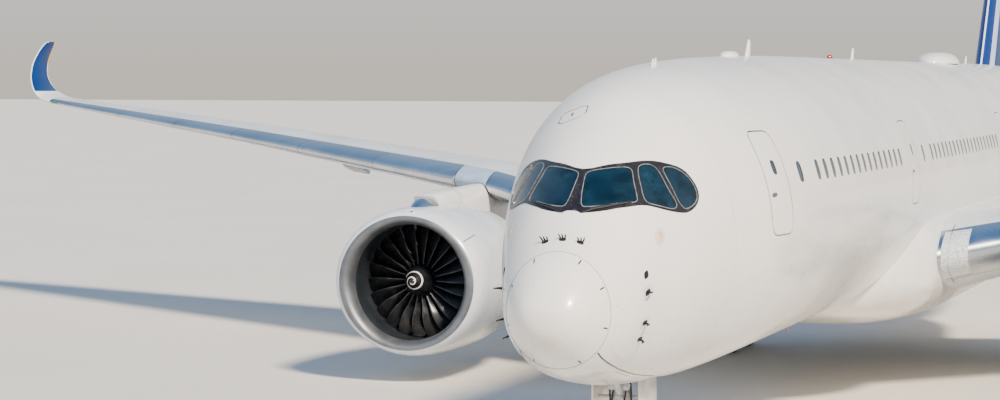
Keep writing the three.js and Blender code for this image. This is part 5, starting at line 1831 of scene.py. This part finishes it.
# landing gear
gear = {
    "nose": {"x": 0, "aft": 4.85, "tyre": 0.525, "width": 0.4, "spread": 0.36, "axle": 0.06},
    "main": {
        "x": 5.3, "aft": 33.51, "tyre": 0.7, "width": 0.53, "spread": 0.865, "base": 2.04, "axle": 0.075,
    },
    # across as a share of the half width, radius as a share of the tyre's
    "tyreProfile": [
        (-0.66, 0.5), (-0.74, 0.54), (-0.9, 0.6), (-0.98, 0.68), (-1.0, 0.77), (-0.96, 0.86), (-0.86, 0.935),
        (-0.74, 0.972),
    ],
    "crown": 0.02,
    "grooves": (-0.54, -0.18, 0.18, 0.54),
    "grooveSize": (0.035, 0.02),
    "rim": [
        (0.66, 0.515), (0.72, 0.5), (0.7, 0.47), (0.55, 0.455), (0.3, 0.44), (0.24, 0.4), (0.2, 0.24),
        (0.34, 0.2), (0.4, 0.13), (0.4, 0),
    ],
    "steps": {"tyre": 96, "rim": 48, "lamp": 40},
    # the bolts' circle is a share of the tyre's radius, their seat a share of the half width
    "bolts": {"count": 12, "circle": 0.33, "seat": 0.24, "proud": 0.018, "radii": (16, 14)},
}
gearFinishes = [gearEnamel, chrome, steel, whitePaint, hoseRubber]
wheelFinishes = [rubber, gearEnamel, steel]
nose, main = gear["nose"], gear["main"]
noseBase, mainBase = ((size["x"], size["aft"]) for size in (nose, main))


def acrossAxle(bm, x, aft, z):
    matrix = Matrix.Translation(place(x, aft, z)) @ Matrix.Rotation(math.pi / 2, 4, "Y")
    bmesh.ops.transform(bm, matrix=matrix, verts=bm.verts)
    return bm


def turnedBm(profile, x, aft, z, steps):  # profile of (across, radius) turned on an axle that lies across
    spots = [place(x + across, aft, z + radius) for across, radius in profile]
    return turned(spots, place(x, aft, z), (1, 0, 0), steps)


def tyreBm(x, aft, tyre, half):
    side = [(a * half, r * tyre) for a, r in gear["tyreProfile"]]
    tread, (wide, deep) = [], gear["grooveSize"]
    edge = 0.5 * wide / half
    for spot in gear["grooves"]:
        crown = tyre * (1 - gear["crown"] * spot * spot)
        for share, drop in ((-1, 0), (-0.7, deep), (0.7, deep), (1, 0)):
            tread.append(((spot + edge * share) * half, crown - drop))
    whole = side + tread + [(-a, r) for a, r in side[::-1]] + [side[0]]
    return turnedBm(whole, x, aft, tyre, gear["steps"]["tyre"])


def wheelBm(x, aft, tyre, width):
    half, bolts = width / 2, gear["bolts"]
    rim = [(a * half, r * tyre) for a, r in gear["rim"]]
    hub = turnedBm(rim[::-1] + [(-a, r) for a, r in rim], x, aft, tyre, gear["steps"]["rim"])
    parts = [painted(tyreBm(x, aft, tyre, half), 0), painted(hub, 1)]
    radius, depth = bolts["circle"] * tyre, 2 * (bolts["seat"] * half + bolts["proud"])
    for i in range(bolts["count"]):
        angle = 2 * math.pi * i / bolts["count"]
        bolt = bmesh.new()
        bmesh.ops.create_cone(
            bolt, cap_ends=True, segments=6, radius1=mm(bolts["radii"][0]), radius2=mm(bolts["radii"][1]),
            depth=depth * scaleOf["model"],
        )
        acrossAxle(bolt, x, aft + radius * math.sin(angle), tyre + radius * math.cos(angle))
        parts.append(painted(bolt, 2))
    return joined(parts)


def twinBm(size, aft):  # a pair of wheels with their axle
    x, spread, tyre = size["x"], size["spread"], size["tyre"]
    wheels = [wheelBm(x + side * spread, aft, tyre, size["width"]) for side in (1, -1)]
    axle = barBm((x - spread, aft, tyre), (x + spread, aft, tyre), size["axle"], sides=32)
    return joined([*wheels, painted(axle, 2)])


# the makers below take places from the leg's middle: across, aft, height above the ground
def strutBm(base, start, end, radius, sides=32, radius2=None, edge=0):
    first, last = ((base[0] + x, base[1] + aft, z) for x, aft, z in (start, end))
    bm = barBm(first, last, radius, radius2, sides)
    return bevelled(bm, edge) if edge else bm


def collarBm(base, z, radius, height, aft=0):
    return strutBm(base, (0, aft, z), (0, aft, z + height), radius, 40, edge=0.006)


def blockBm(base, low, high, edge, segments=2):
    x, aft = base
    box = boxBm(x + low[0], x + high[0], aft + low[1], aft + high[1], low[2], high[2])
    return bevelled(box, edge, segments)


def linkBm(base, start, end, wide, thick):  # a forged torque link: a tapered plate with a rounded rim
    first, last = (place(base[0] + x, base[1] + aft, z) for x, aft, z in (start, end))
    along = last - first
    across = Vector((1, 0, 0))
    up = along.cross(across).normalized()

    def surface(u, v):
        spread = wide * (1 - 0.55 * v) * 0.5 * scaleOf["model"]
        side, rise = ((-1, -1), (1, -1), (1, 1), (-1, 1))[round(u * 4) % 4]
        return first + along * v + across * side * spread + up * rise * thick * 0.5 * scaleOf["model"]

    return bevelled(closedGrid(4, 6, surface), 0.008)


def hoseBm(base, radius, *line):
    return tubeBm(curved([(base[0] + x, base[1] + aft, z) for x, aft, z in line]), radius, 10)


def gearBm(base, rows):  # each row holds a maker, the finish and what the maker takes
    return joined([painted(maker(base, *settings), index) for maker, index, *settings in rows])


steeringRows = [
    (collarBm, 0, 1.3, 0.17, 0.196),
    (collarBm, 2, 1.34, 0.185, 0.05),
    (strutBm, 1, (0, 0, 0.575), (0, 0, 1.6), 0.088),
    (strutBm, 0, (-0.13, 0, 0.525), (0.13, 0, 0.525), 0.115, 40, None, 0.008),
    (collarBm, 0, 0.6, 0.115, 0.12),
    (linkBm, 0, (0, 0.14, 1.38), (0, 0.38, 1.05), 0.26, 0.05),
    (linkBm, 0, (0, 0.06, 0.6), (0, 0.38, 1.05), 0.26, 0.05),
    (strutBm, 2, (-0.09, 0.385, 1.05), (0.09, 0.385, 1.05), 0.032, 20),
    (blockBm, 0, (-0.08, -0.24, 0.475), (0.08, 0, 0.575), 0.012),
    (strutBm, 2, (-0.05, -0.235, 0.525), (0.05, -0.235, 0.525), 0.045, 24),
]
noseLegRows = [
    (strutBm, 0, (0, 0, 1.5), (0, 0, 3.72), 0.15, 48),
    (collarBm, 2, 1.5, 0.168, 0.07),
    (collarBm, 0, 2.02, 0.172, 0.12),
    (collarBm, 0, 2.6, 0.172, 0.1),
    (strutBm, 0, (0, 0, 1.95), (0, -1.5, 3.72), 0.07, 32, 0.085),
    (strutBm, 0, (-0.44, 0, 2.05), (0.44, 0, 2.05), 0.03, 24),
    (blockBm, 3, (-0.46, -0.45, 1.62), (-0.42, 0.75, 2.42), 0.01),
    (blockBm, 3, (0.42, -0.45, 1.62), (0.46, 0.75, 2.42), 0.01),
    (
        hoseBm, 4, 0.016, (0.15, -0.05, 2.5), (0.19, -0.08, 2.2), (0.2, -0.1, 1.9),
        (0.185, -0.08, 1.62), (0.16, -0.04, 1.52),
    ),
    (
        hoseBm, 4, 0.016, (-0.14, -0.08, 2.5), (-0.2, -0.12, 2.2), (-0.185, -0.12, 1.85),
        (-0.17, -0.1, 1.6), (-0.14, -0.1, 1.52),
    ),
    (
        hoseBm, 4, 0.016, (0.1, -0.16, 2.45), (0.12, -0.2, 2.15), (0.06, -0.21, 1.85),
        (0.02, -0.18, 1.58), (0.0, -0.15, 1.52),
    ),
    (
        hoseBm, 4, 0.016, (-0.05, -0.16, 2.5), (-0.11, -0.19, 2.2), (-0.15, -0.18, 1.9),
        (-0.1, -0.17, 1.66), (-0.08, -0.14, 1.53),
    ),
]
mainLegRows = [
    (strutBm, 1, (0, 0, 0.8), (0, -0.05, 1.75), 0.145, 48),
    (strutBm, 0, (0, -0.03, 1.6), (0, -0.12, 3.7), 0.24, 56, 0.27),
    (strutBm, 0, (0, -0.05, 1.9), (-1.6, -0.2, 3.25), 0.1),
    (strutBm, 0, (0, -0.05, 1.9), (-0.1, -1.9, 3.9), 0.09),
    (strutBm, 0, (0, -0.2, 2.4), (0.48, -0.2, 2.4), 0.05, 24),
    (collarBm, 0, 1.6, 0.268, 0.09, -0.05),
    (collarBm, 0, 1.98, 0.285, 0.16, -0.05),
    (collarBm, 0, 2.9, 0.295, 0.14, -0.05),
    (linkBm, 0, (0, 0.17, 1.7), (0, 0.52, 1.25), 0.36, 0.07),
    (linkBm, 0, (0, 0.1, 0.85), (0, 0.52, 1.25), 0.36, 0.07),
    (strutBm, 2, (-0.12, 0.52, 1.25), (0.12, 0.52, 1.25), 0.04, 20),
    (blockBm, 0, (-0.12, -1.22, 0.53), (0.12, 1.22, 0.87), 0.06, 4),
    (blockBm, 3, (0.42, -1.0, 1.5), (0.47, 0.35, 3.6), 0.012),
    (
        hoseBm, 4, 0.019, (0.1, -0.3, 3.2), (0.2, -0.34, 2.7), (0.24, -0.3, 2.2), (0.2, -0.22, 1.7),
        (0.16, -0.15, 1.2), (0.1, -0.2, 0.88),
    ),
    (
        hoseBm, 4, 0.019, (-0.1, -0.34, 3.2), (-0.18, -0.36, 2.6), (-0.24, -0.3, 2.1), (-0.2, -0.22, 1.6),
        (-0.16, -0.1, 1.15), (-0.1, 0.2, 0.88),
    ),
    (
        hoseBm, 4, 0.019, (0.02, -0.36, 3.0), (0.08, -0.38, 2.5), (0.02, -0.32, 2.0), (0.06, -0.24, 1.5),
        (0.1, -0.2, 1.1), (0.13, -0.5, 0.85), (0.15, -0.9, 0.8),
    ),
]
for step in (-1, 1):  # a knuckle and two brakes on each axle
    aft = step * main["base"] / 2
    mainLegRows.append((strutBm, 0, (-0.2, aft, 0.7), (0.2, aft, 0.7), 0.17, 40, None, 0.015))
    for side in (-1, 1):
        ends = (side * 0.26, aft, 0.7), (side * 0.6, aft, 0.7)
        mainLegRows.append((strutBm, 2, *ends, 0.24, 40, None, 0.02))

noseLamps = {
    # ahead of the rim and radius: a bowl, then its domed cover
    "profile": [
        (-0.07, 0), (-0.07, 0.03), (-0.05, 0.06), (-0.02, 0.085), (0, 0.09), (0, 0.082), (0.018, 0.045),
        (0.024, 0),
    ],
    "aft": -0.24,
    "at": ((0.13, 2.28), (-0.13, 2.28), (0, 2.0)),
    "brackets": ((0.13, 2.28), (-0.13, 2.28), (0.02, 2.0)),
}


def lampBm(x, z):
    rim = nose["aft"] + noseLamps["aft"]
    spots = [place(x, rim - ahead, z + radius) for ahead, radius in noseLamps["profile"]]
    bm = turned(spots, place(x, rim, z), (0, 1, 0), gear["steps"]["lamp"])
    cover = place(0, rim + 0.001, 0).y
    for face in bm.faces:
        face.material_index = 1 if face.calc_center_median().y < cover else 0
    return bm


skinned("nose_wheels", twinBm(nose, nose["aft"]), "tyre", wheelFinishes)
skinned("nose_gear_steering", gearBm(noseBase, steeringRows), "gear_paint", gearFinishes[:3])
skinned("nose_gear_leg", gearBm(noseBase, noseLegRows), "gear_paint", gearFinishes)
lamps = [lampBm(x, z) for x, z in noseLamps["at"]]
brackets = [strutBm(noseBase, (x * 0.6, -0.14, z), (x, -0.18, z), 0.02, 16) for x, z in noseLamps["brackets"]]
fitted("nose_gear_lamps", joined(lamps + brackets), [steel, clearLamp], "bare_metal", mirror=False, smooth=30)
for name, step in (("front_wheels", -1), ("rear_wheels", 1)):
    skinnedPair(name, twinBm(main, main["aft"] + step * main["base"] / 2), "tyre", wheelFinishes)
skinnedPair("main_gear_leg", gearBm(mainBase, mainLegRows), "gear_paint", gearFinishes)
report("landing gear")


# details on the skin
def skinAngle(x, aft, z):
    top, bottom, half, widest = hullAt(aft)
    height = (top - widest) if z > widest else (widest - bottom)
    return math.atan2(x / half, (z - widest) / height)


def onSkin(spot, grow=0.0):
    x, aft, z = spot
    return hullPoint(aft, skinAngle(x, aft, z), grow)


def skinUp(spot):
    return (onSkin(spot, 0.1) - onSkin(spot)).normalized()


def skinLineBm(spots, wide, rise=3, closed=False):  # a painted or sealed line on the fuselage skin
    spots = list(spots)
    if closed:
        spots = spots + spots[:2]
    points = [onSkin(spot, 0.001) for spot in spots]
    return evenRibbon(points, [skinUp(spot) for spot in spots], wide, rise)


def padBm(spot, long, wide, rise, rim=0.8, sides=24):  # a low rounded plate that follows the skin
    aft, middle = spot[1], skinAngle(*spot)
    girth = (onSkin(spot) - place(0, aft, hullAt(aft)[3])).length / scaleOf["model"]
    layers = [(1.0, -0.02), (1.0, rise * 0.6), (rim, rise), (0.02, rise * 1.15)]

    def surface(u, v):
        share, grow = layers[round(v * 3)]
        turn = 2 * math.pi * u
        c, s = math.cos(turn), math.sin(turn)
        back = math.copysign(abs(c) ** 0.7, c) * share * long / 2
        side = math.copysign(abs(s) ** 0.7, s) * share * wide / 2
        return hullPoint(aft + back, middle + side / girth, grow)

    return closedGrid(sides, 3, surface)


def bladeAerialBm(spot, height, chord, sweep, thick=0.12, taper=0.55):  # a streamlined fin with a rounded tip
    foot, up = onSkin(spot, -0.02), skinUp(spot)
    across = up.cross(Vector((0, 1, 0))).normalized()
    back = across.cross(up)

    def surface(u, v):
        share = math.sin(math.pi / 2 * v)
        size = chord * (1 - (1 - taper) * share) * math.sqrt(max(1 - v**6, 0.0004))
        turn = 2 * math.pi * u
        along = sweep * share + size * (0.5 - 0.5 * math.cos(turn)) - size * 0.3
        wide = size * thick * math.sin(turn) * (1 - 0.35 * math.cos(turn + math.pi))
        return foot + (up * (height + 0.02) * share + back * along + across * wide) * scaleOf["model"]

    return closedGrid(20, 10, surface)


def domeBm(spot, long, wide, high, fullness=0.6):  # a low radome on the crown or the belly
    foot, up = onSkin(spot, -0.03), skinUp(spot)
    across = up.cross(Vector((0, 1, 0))).normalized()
    back = across.cross(up)

    def surface(u, v):
        turn, rise = 2 * math.pi * u, math.pi / 2 * v
        out = math.cos(rise) ** fullness
        flat = back * math.cos(turn) * out * long / 2 + across * math.sin(turn) * out * wide / 2
        return foot + (flat + up * (high + 0.03) * math.sin(rise)) * scaleOf["model"]

    return closedGrid(40, 12, surface)


def skinFoot(spot):  # a place on the skin in real metres
    return onSkin(spot) / scaleOf["model"] + Vector((0, scaleOf["length"] / 2, 0))


def prongProbeBm(spot):  # three short prongs on one foot that feel the angle of the airflow
    foot, up = skinFoot(spot), skinUp(spot)
    parts = [padBm(spot, 0.06, 0.14, 0.012)]
    for side in (-1, 0, 1):
        tip = foot + up * 0.085 + Vector((side * 0.062, -0.055, 0.012))
        knee = foot + up * 0.055 + Vector((side * 0.05, 0.0, 0))
        line = curved([foot + Vector((side * 0.03, 0.01, 0)), knee, tip], 4)
        parts.append(tubeBm(line, 0.014, 10, (1.3, 0.7)))
    return joined(parts)


def pitotBm(spot):  # an air pressure tube on a swept strut, its mouth ahead
    foot, up = skinFoot(spot), skinUp(spot)
    elbow = foot + up * 0.09 + Vector((0, -0.05, 0))
    mouth = elbow + Vector((0, -0.13, 0)) + up * 0.01
    strut = tubeBm(curved([foot, foot + up * 0.05 + Vector((0, -0.01, 0)), elbow], 5), 0.02, 12, (1.3, 0.8))
    tube = tubeBm([elbow + Vector((0, 0.03, 0)), mouth], 0.016, 12, (1, 0.75))
    return joined([padBm(spot, 0.15, 0.08, 0.008), strut, tube])


def wickBms(points):  # static discharge wicks behind an edge
    lines = [[(x, aft - 0.03, z), (x, aft + 0.03, z), (x, aft + 0.17, z - 0.004)] for x, aft, z in points]
    return joined([tubeBm(line, 0.007, 6, (1.4, 0.5)) for line in lines])


def ringBm(aft, wide):  # a joint line all round the fuselage
    sides = 96
    points = [hullPoint(aft, 2 * math.pi * i / sides, 0.0008) for i in range(sides + 2)]
    middle = sum(points[:sides], Vector()) / sides
    return evenRibbon(points, [(point - middle).normalized() for point in points], wide, 1.5)


# the radome's joint and its lightning strips
radome = {
    "joint": 0.779,
    "strips": ((0.4, 4.81), (0.74, 4.35), (0.81, 3.72), (0.39, 3.15)),
    "reach": (0.16, 0.74),
}
fitted("radome_joint", ringBm(radome["joint"], 16), [maskPaint], "dark_surround", mirror=False)
strips, tips = [], []
for x, z in radome["strips"]:
    front, back = radome["reach"]
    turn = skinAngle(x, back, z)
    line = np.linspace(front, back, 14)
    points = [hullPoint(aft, turn, 0.001) for aft in line]
    ups = [(hullPoint(aft, turn, 0.1) - hullPoint(aft, turn)).normalized() for aft in line]
    strips.append(evenRibbon(points, ups, 7, 2))
    tips.append(evenRibbon(points[-3:], ups[-3:], 24, 4))
fitted("strip_ends", joined(tips), [maskPaint], "dark_surround")
fitted("lightning_strips", joined(strips), [nacellePaint], "white_paint")

# probes and sensors on the nose
probeSpots = {
    "prongs": (0.31, 1.03, 5.11), "middle": (0.0, 1.02, 5.14), "upper": (1.3, 1.74, 4.24),
    "lower": (1.25, 1.74, 3.72), "oval": (1.27, 1.75, 4.54), "vane": (1.16, 1.78, 3.43),
    "cover": (1.358, 2.323, 5.166),
}
probes = [pitotBm(probeSpots[name]) for name in ("upper", "lower", "vane")]
probes.append(padBm(probeSpots["oval"], 0.12, 0.1, 0.012))
backing = [padBm(probeSpots[name], 0.3, 0.2, 0.004, 0.92) for name in ("upper", "lower")]
cover = probeSpots["cover"]
fitted("airflow_probe", prongProbeBm(probeSpots["prongs"]), [probeMetal], "bare_metal")
fitted("centre_airflow_probe", prongProbeBm(probeSpots["middle"]), [probeMetal], "bare_metal", mirror=False)
fitted("pitot_probes", joined(probes), [probeMetal], "bare_metal")
fitted("probe_plates", joined(backing), [nacellePaint], "white_paint")
fitted("sensor_ring", padBm(cover, 0.26, 0.22, 0.006, 0.9), [nacellePaint], "white_paint")
fitted("sensor_cover", padBm(cover, 0.15, 0.12, 0.016, 0.7), [sensorPlastic], "white_paint")

# joint lines of the nose
noseDoorLine = [
    (0.688, 0.807, 3.278), (0.705, 0.982, 3.176), (0.733, 1.194, 3.087), (0.752, 1.688, 2.943),
    (0.75, 1.95, 2.87),
    (0.751, 2.278, 2.811), (0.764, 2.826, 2.706), (0.778, 3.516, 2.609), (0.775, 4.161, 2.534),
]
fitted("nose_panel_joint", skinLineBm(curved(noseDoorLine, 6), 26), [maskPaint], "dark_surround")
hatchLoop = [
    (-0.936, 3.869, 7.086), (-0.929, 3.971, 7.151), (-0.925, 4.082, 7.216), (-0.808, 4.091, 7.294),
    (-0.65, 4.033, 7.345), (-0.505, 4.02, 7.396), (-0.407, 3.953, 7.391), (-0.399, 3.843, 7.333),
    (-0.392, 3.739, 7.276), (-0.487, 3.661, 7.2), (-0.645, 3.674, 7.142), (-0.816, 3.732, 7.083),
]
hatch = [skinLineBm(rounded(hatchLoop, 4), 20, closed=True), padBm((-0.68, 3.87, 7.24), 0.12, 0.05, 0.006)]
fitted("escape_hatch_joint", joined(hatch), [lipMetal], "dark_surround", mirror=False)

# windscreen wipers
wiper = {
    "arm": [(0.2, 1.54, 5.6), (0.36, 1.61, 5.66), (0.62, 1.8, 5.71), (0.86, 2.04, 5.76)],
    "blade": [(0.3, 1.63, 5.63), (0.55, 1.78, 5.71), (0.78, 1.97, 5.755), (0.92, 2.12, 5.79)],
    "lift": 0.03,
}
wiperArm = tubeBm(wiper["arm"], 0.011, 8)
bladeLine = [onSkin(spot, wiper["lift"]) for spot in wiper["blade"]]
wiperBlade = evenRibbon(bladeLine, [skinUp(spot) for spot in wiper["blade"]], 22, 14)
wiperFoot = padBm((0.0, 1.515, 5.555), 0.06, 0.38, 0.03)
fitted("windscreen_wiper", joined([wiperArm, wiperBlade]), [hoseRubber], "dark_surround")
fitted("wiper_foot", wiperFoot, [whitePaint], "white_paint", mirror=False)

# aerials, drains and domes
crownBlades = [
    # aft, height, chord, sweep
    (6.9, 0.13, 0.2, 0.06), (7.1, 0.13, 0.2, 0.06), (15.0, 0.36, 0.42, 0.22), (27.5, 0.3, 0.36, 0.18),
    (48.5, 0.26, 0.34, 0.15),
]
crown = [bladeAerialBm((0.0, aft, hullAt(aft)[0]), *size) for aft, *size in crownBlades]
crown += [domeBm((0, 13.3, 8.4), 0.9, 0.4, 0.11), domeBm((0, 42.4, 8.45), 3.2, 1.3, 0.33, 0.75)]
fitted("crown_aerials", joined(crown), [whitePaint], "white_paint", mirror=False)
bellyBlades = [(9.2, 0.24, 0.32, 0.14), (16.4, 0.3, 0.36, 0.18), (46.2, 0.24, 0.32, 0.14)]
under = [bladeAerialBm((0.0, aft, hullAt(aft)[1]), *size) for aft, *size in bellyBlades]
fitted("belly_aerials", joined(under), [whitePaint], "white_paint", mirror=False)
drainSpots = [(0.35, aft, underside(aft, 0.35)) for aft in (17.6, 45.0)]
drains = [bladeAerialBm(spot, 0.28, 0.16, 0.16, 0.2, 0.8) for spot in drainSpots]
fitted("drain_masts", joined(drains), [steel], "bare_metal", mirror=False)
beacon = domeBm((0, 24.5, 8.4), 0.2, 0.16, 0.09, 0.5)
fitted("beacon_lamps", beacon, [redLamp], "dark_surround", mirror=False)

# handles and small plates on the cabin sides
handle = {"z": 5.75, "ahead": 0.28, "size": (0.24, 0.07, 0.004)}
handles = []
for aft in cabin["doors"]:
    for side in (-1, 1):
        spot = (side * sideAt(aft, handle["z"]), aft - handle["ahead"], handle["z"])
        handles.append(padBm(spot, *handle["size"]))
fitted("door_handles", joined(handles), [lipMetal], "bare_metal", mirror=False)
plateSpots = [(sideAt(aft, z), aft, z) for aft, z in ((7.2, 4.3), (8.3, 4.1), (30.5, 4.2))]
plates = [padBm(spot, 0.3, 0.22, 0.003, 0.9) for spot in plateSpots]
fitted("static_plates", joined(plates), [nacellePaint], "white_paint")

# wing edge joints, wicks and lamps
joints = [edgeJointBm(x) for x in (3.3, *wingShape["fixedEdge"])]
fitted("wing_edge_joints", joined(joints), [maskPaint], "dark_surround", "wing")


def rearEdge(rows, x):
    return tuple(sectionPoint(rowAt(rows, x), 0.0, 0.0))


aileronWicks = [rearEdge(wingRows, x) for x in (22.5, 24.3, 26.1, 27.9, 29.3)]
elevatorWicks = [rearEdge(tailplaneRows, x) for x in (4.5, 6.0, 7.4, 8.7)]
fitted("aileron_wicks", wickBms(aileronWicks), [hoseRubber], "dark_surround", "aileron")
fitted("elevator_wicks", wickBms(elevatorWicks), [hoseRubber], "dark_surround", "elevator")


def wingLampBm(low, high, proud):  # a moulded cover over lamps in the leading edge
    def surface(u, v):
        row = list(rowAt(wingRows, low + (high - low) * v))
        row[1] -= proud
        return place(*sectionPoint(row, 0.5 + 0.075 * (2 * u - 1), wingShape["camber"]))

    bm = sheetGrid(24, 12, surface)
    drawn = bmesh.ops.extrude_face_region(bm, geom=bm.faces[:])["geom"]
    moved = [item for item in drawn if isinstance(item, bmesh.types.BMVert)]
    bmesh.ops.translate(bm, vec=(0, proud * 2 * scaleOf["model"], 0), verts=moved)
    return outward(bm)


fitted("landing_lamps", wingLampBm(3.15, 3.75, 0.008), [clearLamp], "white_paint")
tipLamp = wingLampBm(30.45, 30.75, 0.006)
fitted("right_tip_lamp", mirroredBm(tipLamp), [greenLamp], "dark_surround", mirror=False)
fitted("left_tip_lamp", tipLamp, [redLamp], "dark_surround", mirror=False)
tailLamp = domeBm((0, 66.3, 7.68), 0.14, 0.1, 0.05, 0.5)
fitted("tail_lamp", tailLamp, [clearLamp], "white_paint", mirror=False)


# exhaust of the auxiliary engine
def exhaustBm():
    front, back, inner, outer = (pipe[key] for key in ("front", "back", "inner", "outer"))
    profile = [(front, 0.0), (front, inner), (back, inner), (back, outer), (66.3, outer + 0.01)]

    def surface(u, v):
        aft, radius = profile[round(v * (len(profile) - 1))]
        turn = 2 * math.pi * u
        return place(radius * math.sin(turn), aft, pipe["z"] + radius * math.cos(turn))

    return closedGrid(48, len(profile) - 1, surface)


fitted("exhaust_pipe", exhaustBm(), [coreMetal], "core_metal", mirror=False)
report("details")


# camera, floor and light
cameraSpot = {"at": (6.4228, -37.5553, 3.9388), "yaw": -0.3158, "pitch": -0.0459, "roll": -0.0016}
cameraLens = {"lens": 94.905, "sensor_width": 36, "clip_end": 1000}


def addCamera():
    data = bpy.data.cameras.new("camera")
    for key, value in cameraLens.items():
        setattr(data, key, value)
    camera = bpy.data.objects.new("camera", data)
    bpy.context.scene.collection.objects.link(camera)
    yaw, pitch = cameraSpot["yaw"], cameraSpot["pitch"]
    ahead = Vector((math.sin(yaw) * math.cos(pitch), math.cos(yaw) * math.cos(pitch), math.sin(pitch)))
    right = Vector((math.cos(yaw), -math.sin(yaw), 0))
    turn = Matrix((right, right.cross(ahead), -ahead)).transposed().to_4x4()
    turn = turn @ Matrix.Rotation(-cameraSpot["roll"], 4, "Z")
    camera.matrix_world = Matrix.Translation(cameraSpot["at"]) @ turn
    bpy.context.scene.camera = camera


def addFloor():
    paint = finish("paleStudioFloor", {"Roughness": 0.85}, (9, "#D3CDC3", "#D9D4CB", 3))
    bm = bmesh.new()
    bmesh.ops.create_grid(bm, x_segments=2, y_segments=2, size=400)
    finished("floor", bm, None, None, [paint])


# toward points from the aircraft to where the light comes from
def addSun(name, toward, strength, spread, shade):
    data = bpy.data.lights.new(name, "SUN")
    data.energy, data.angle, data.color = strength, math.radians(spread), colour(shade)[:3]
    light = bpy.data.objects.new(name, data)
    bpy.context.scene.collection.objects.link(light)
    light.matrix_world = Vector(toward).to_track_quat("Z", "Y").to_matrix().to_4x4()


def addWorld():
    world = bpy.data.worlds.new("softStudio")
    bpy.context.scene.world = world
    world.use_nodes = True
    tree = world.node_tree
    tree.nodes.clear()
    where = addNode(tree, "ShaderNodeTexCoord")
    height = addNode(tree, "ShaderNodeSeparateXYZ", None, {"Vector": where}, out=2)
    stops = [
        (0.0, colour("#E6DED1")), (0.03, colour("#ECEAE6")), (0.12, colour("#D3DCE6")),
        (0.45, colour("#9FC0E4")), (1.0, colour("#4F8FD6")),
    ]
    shade = addNode(tree, "ShaderNodeValToRGB", {"stops": stops}, {"Fac": height})
    sky = addNode(tree, "ShaderNodeBackground", {"Strength": 0.92}, {"Color": shade})
    addNode(tree, "ShaderNodeOutputWorld", None, {"Surface": sky})


addCamera()
addFloor()
addWorld()
addSun("keyLight", (0.62, -0.62, 0.72), 8.6, 8, "#FFF1DE")
addSun("fillLight", (-0.7, -0.5, 0.6), 0.5, 60, "#E8F0FF")
report("stage")
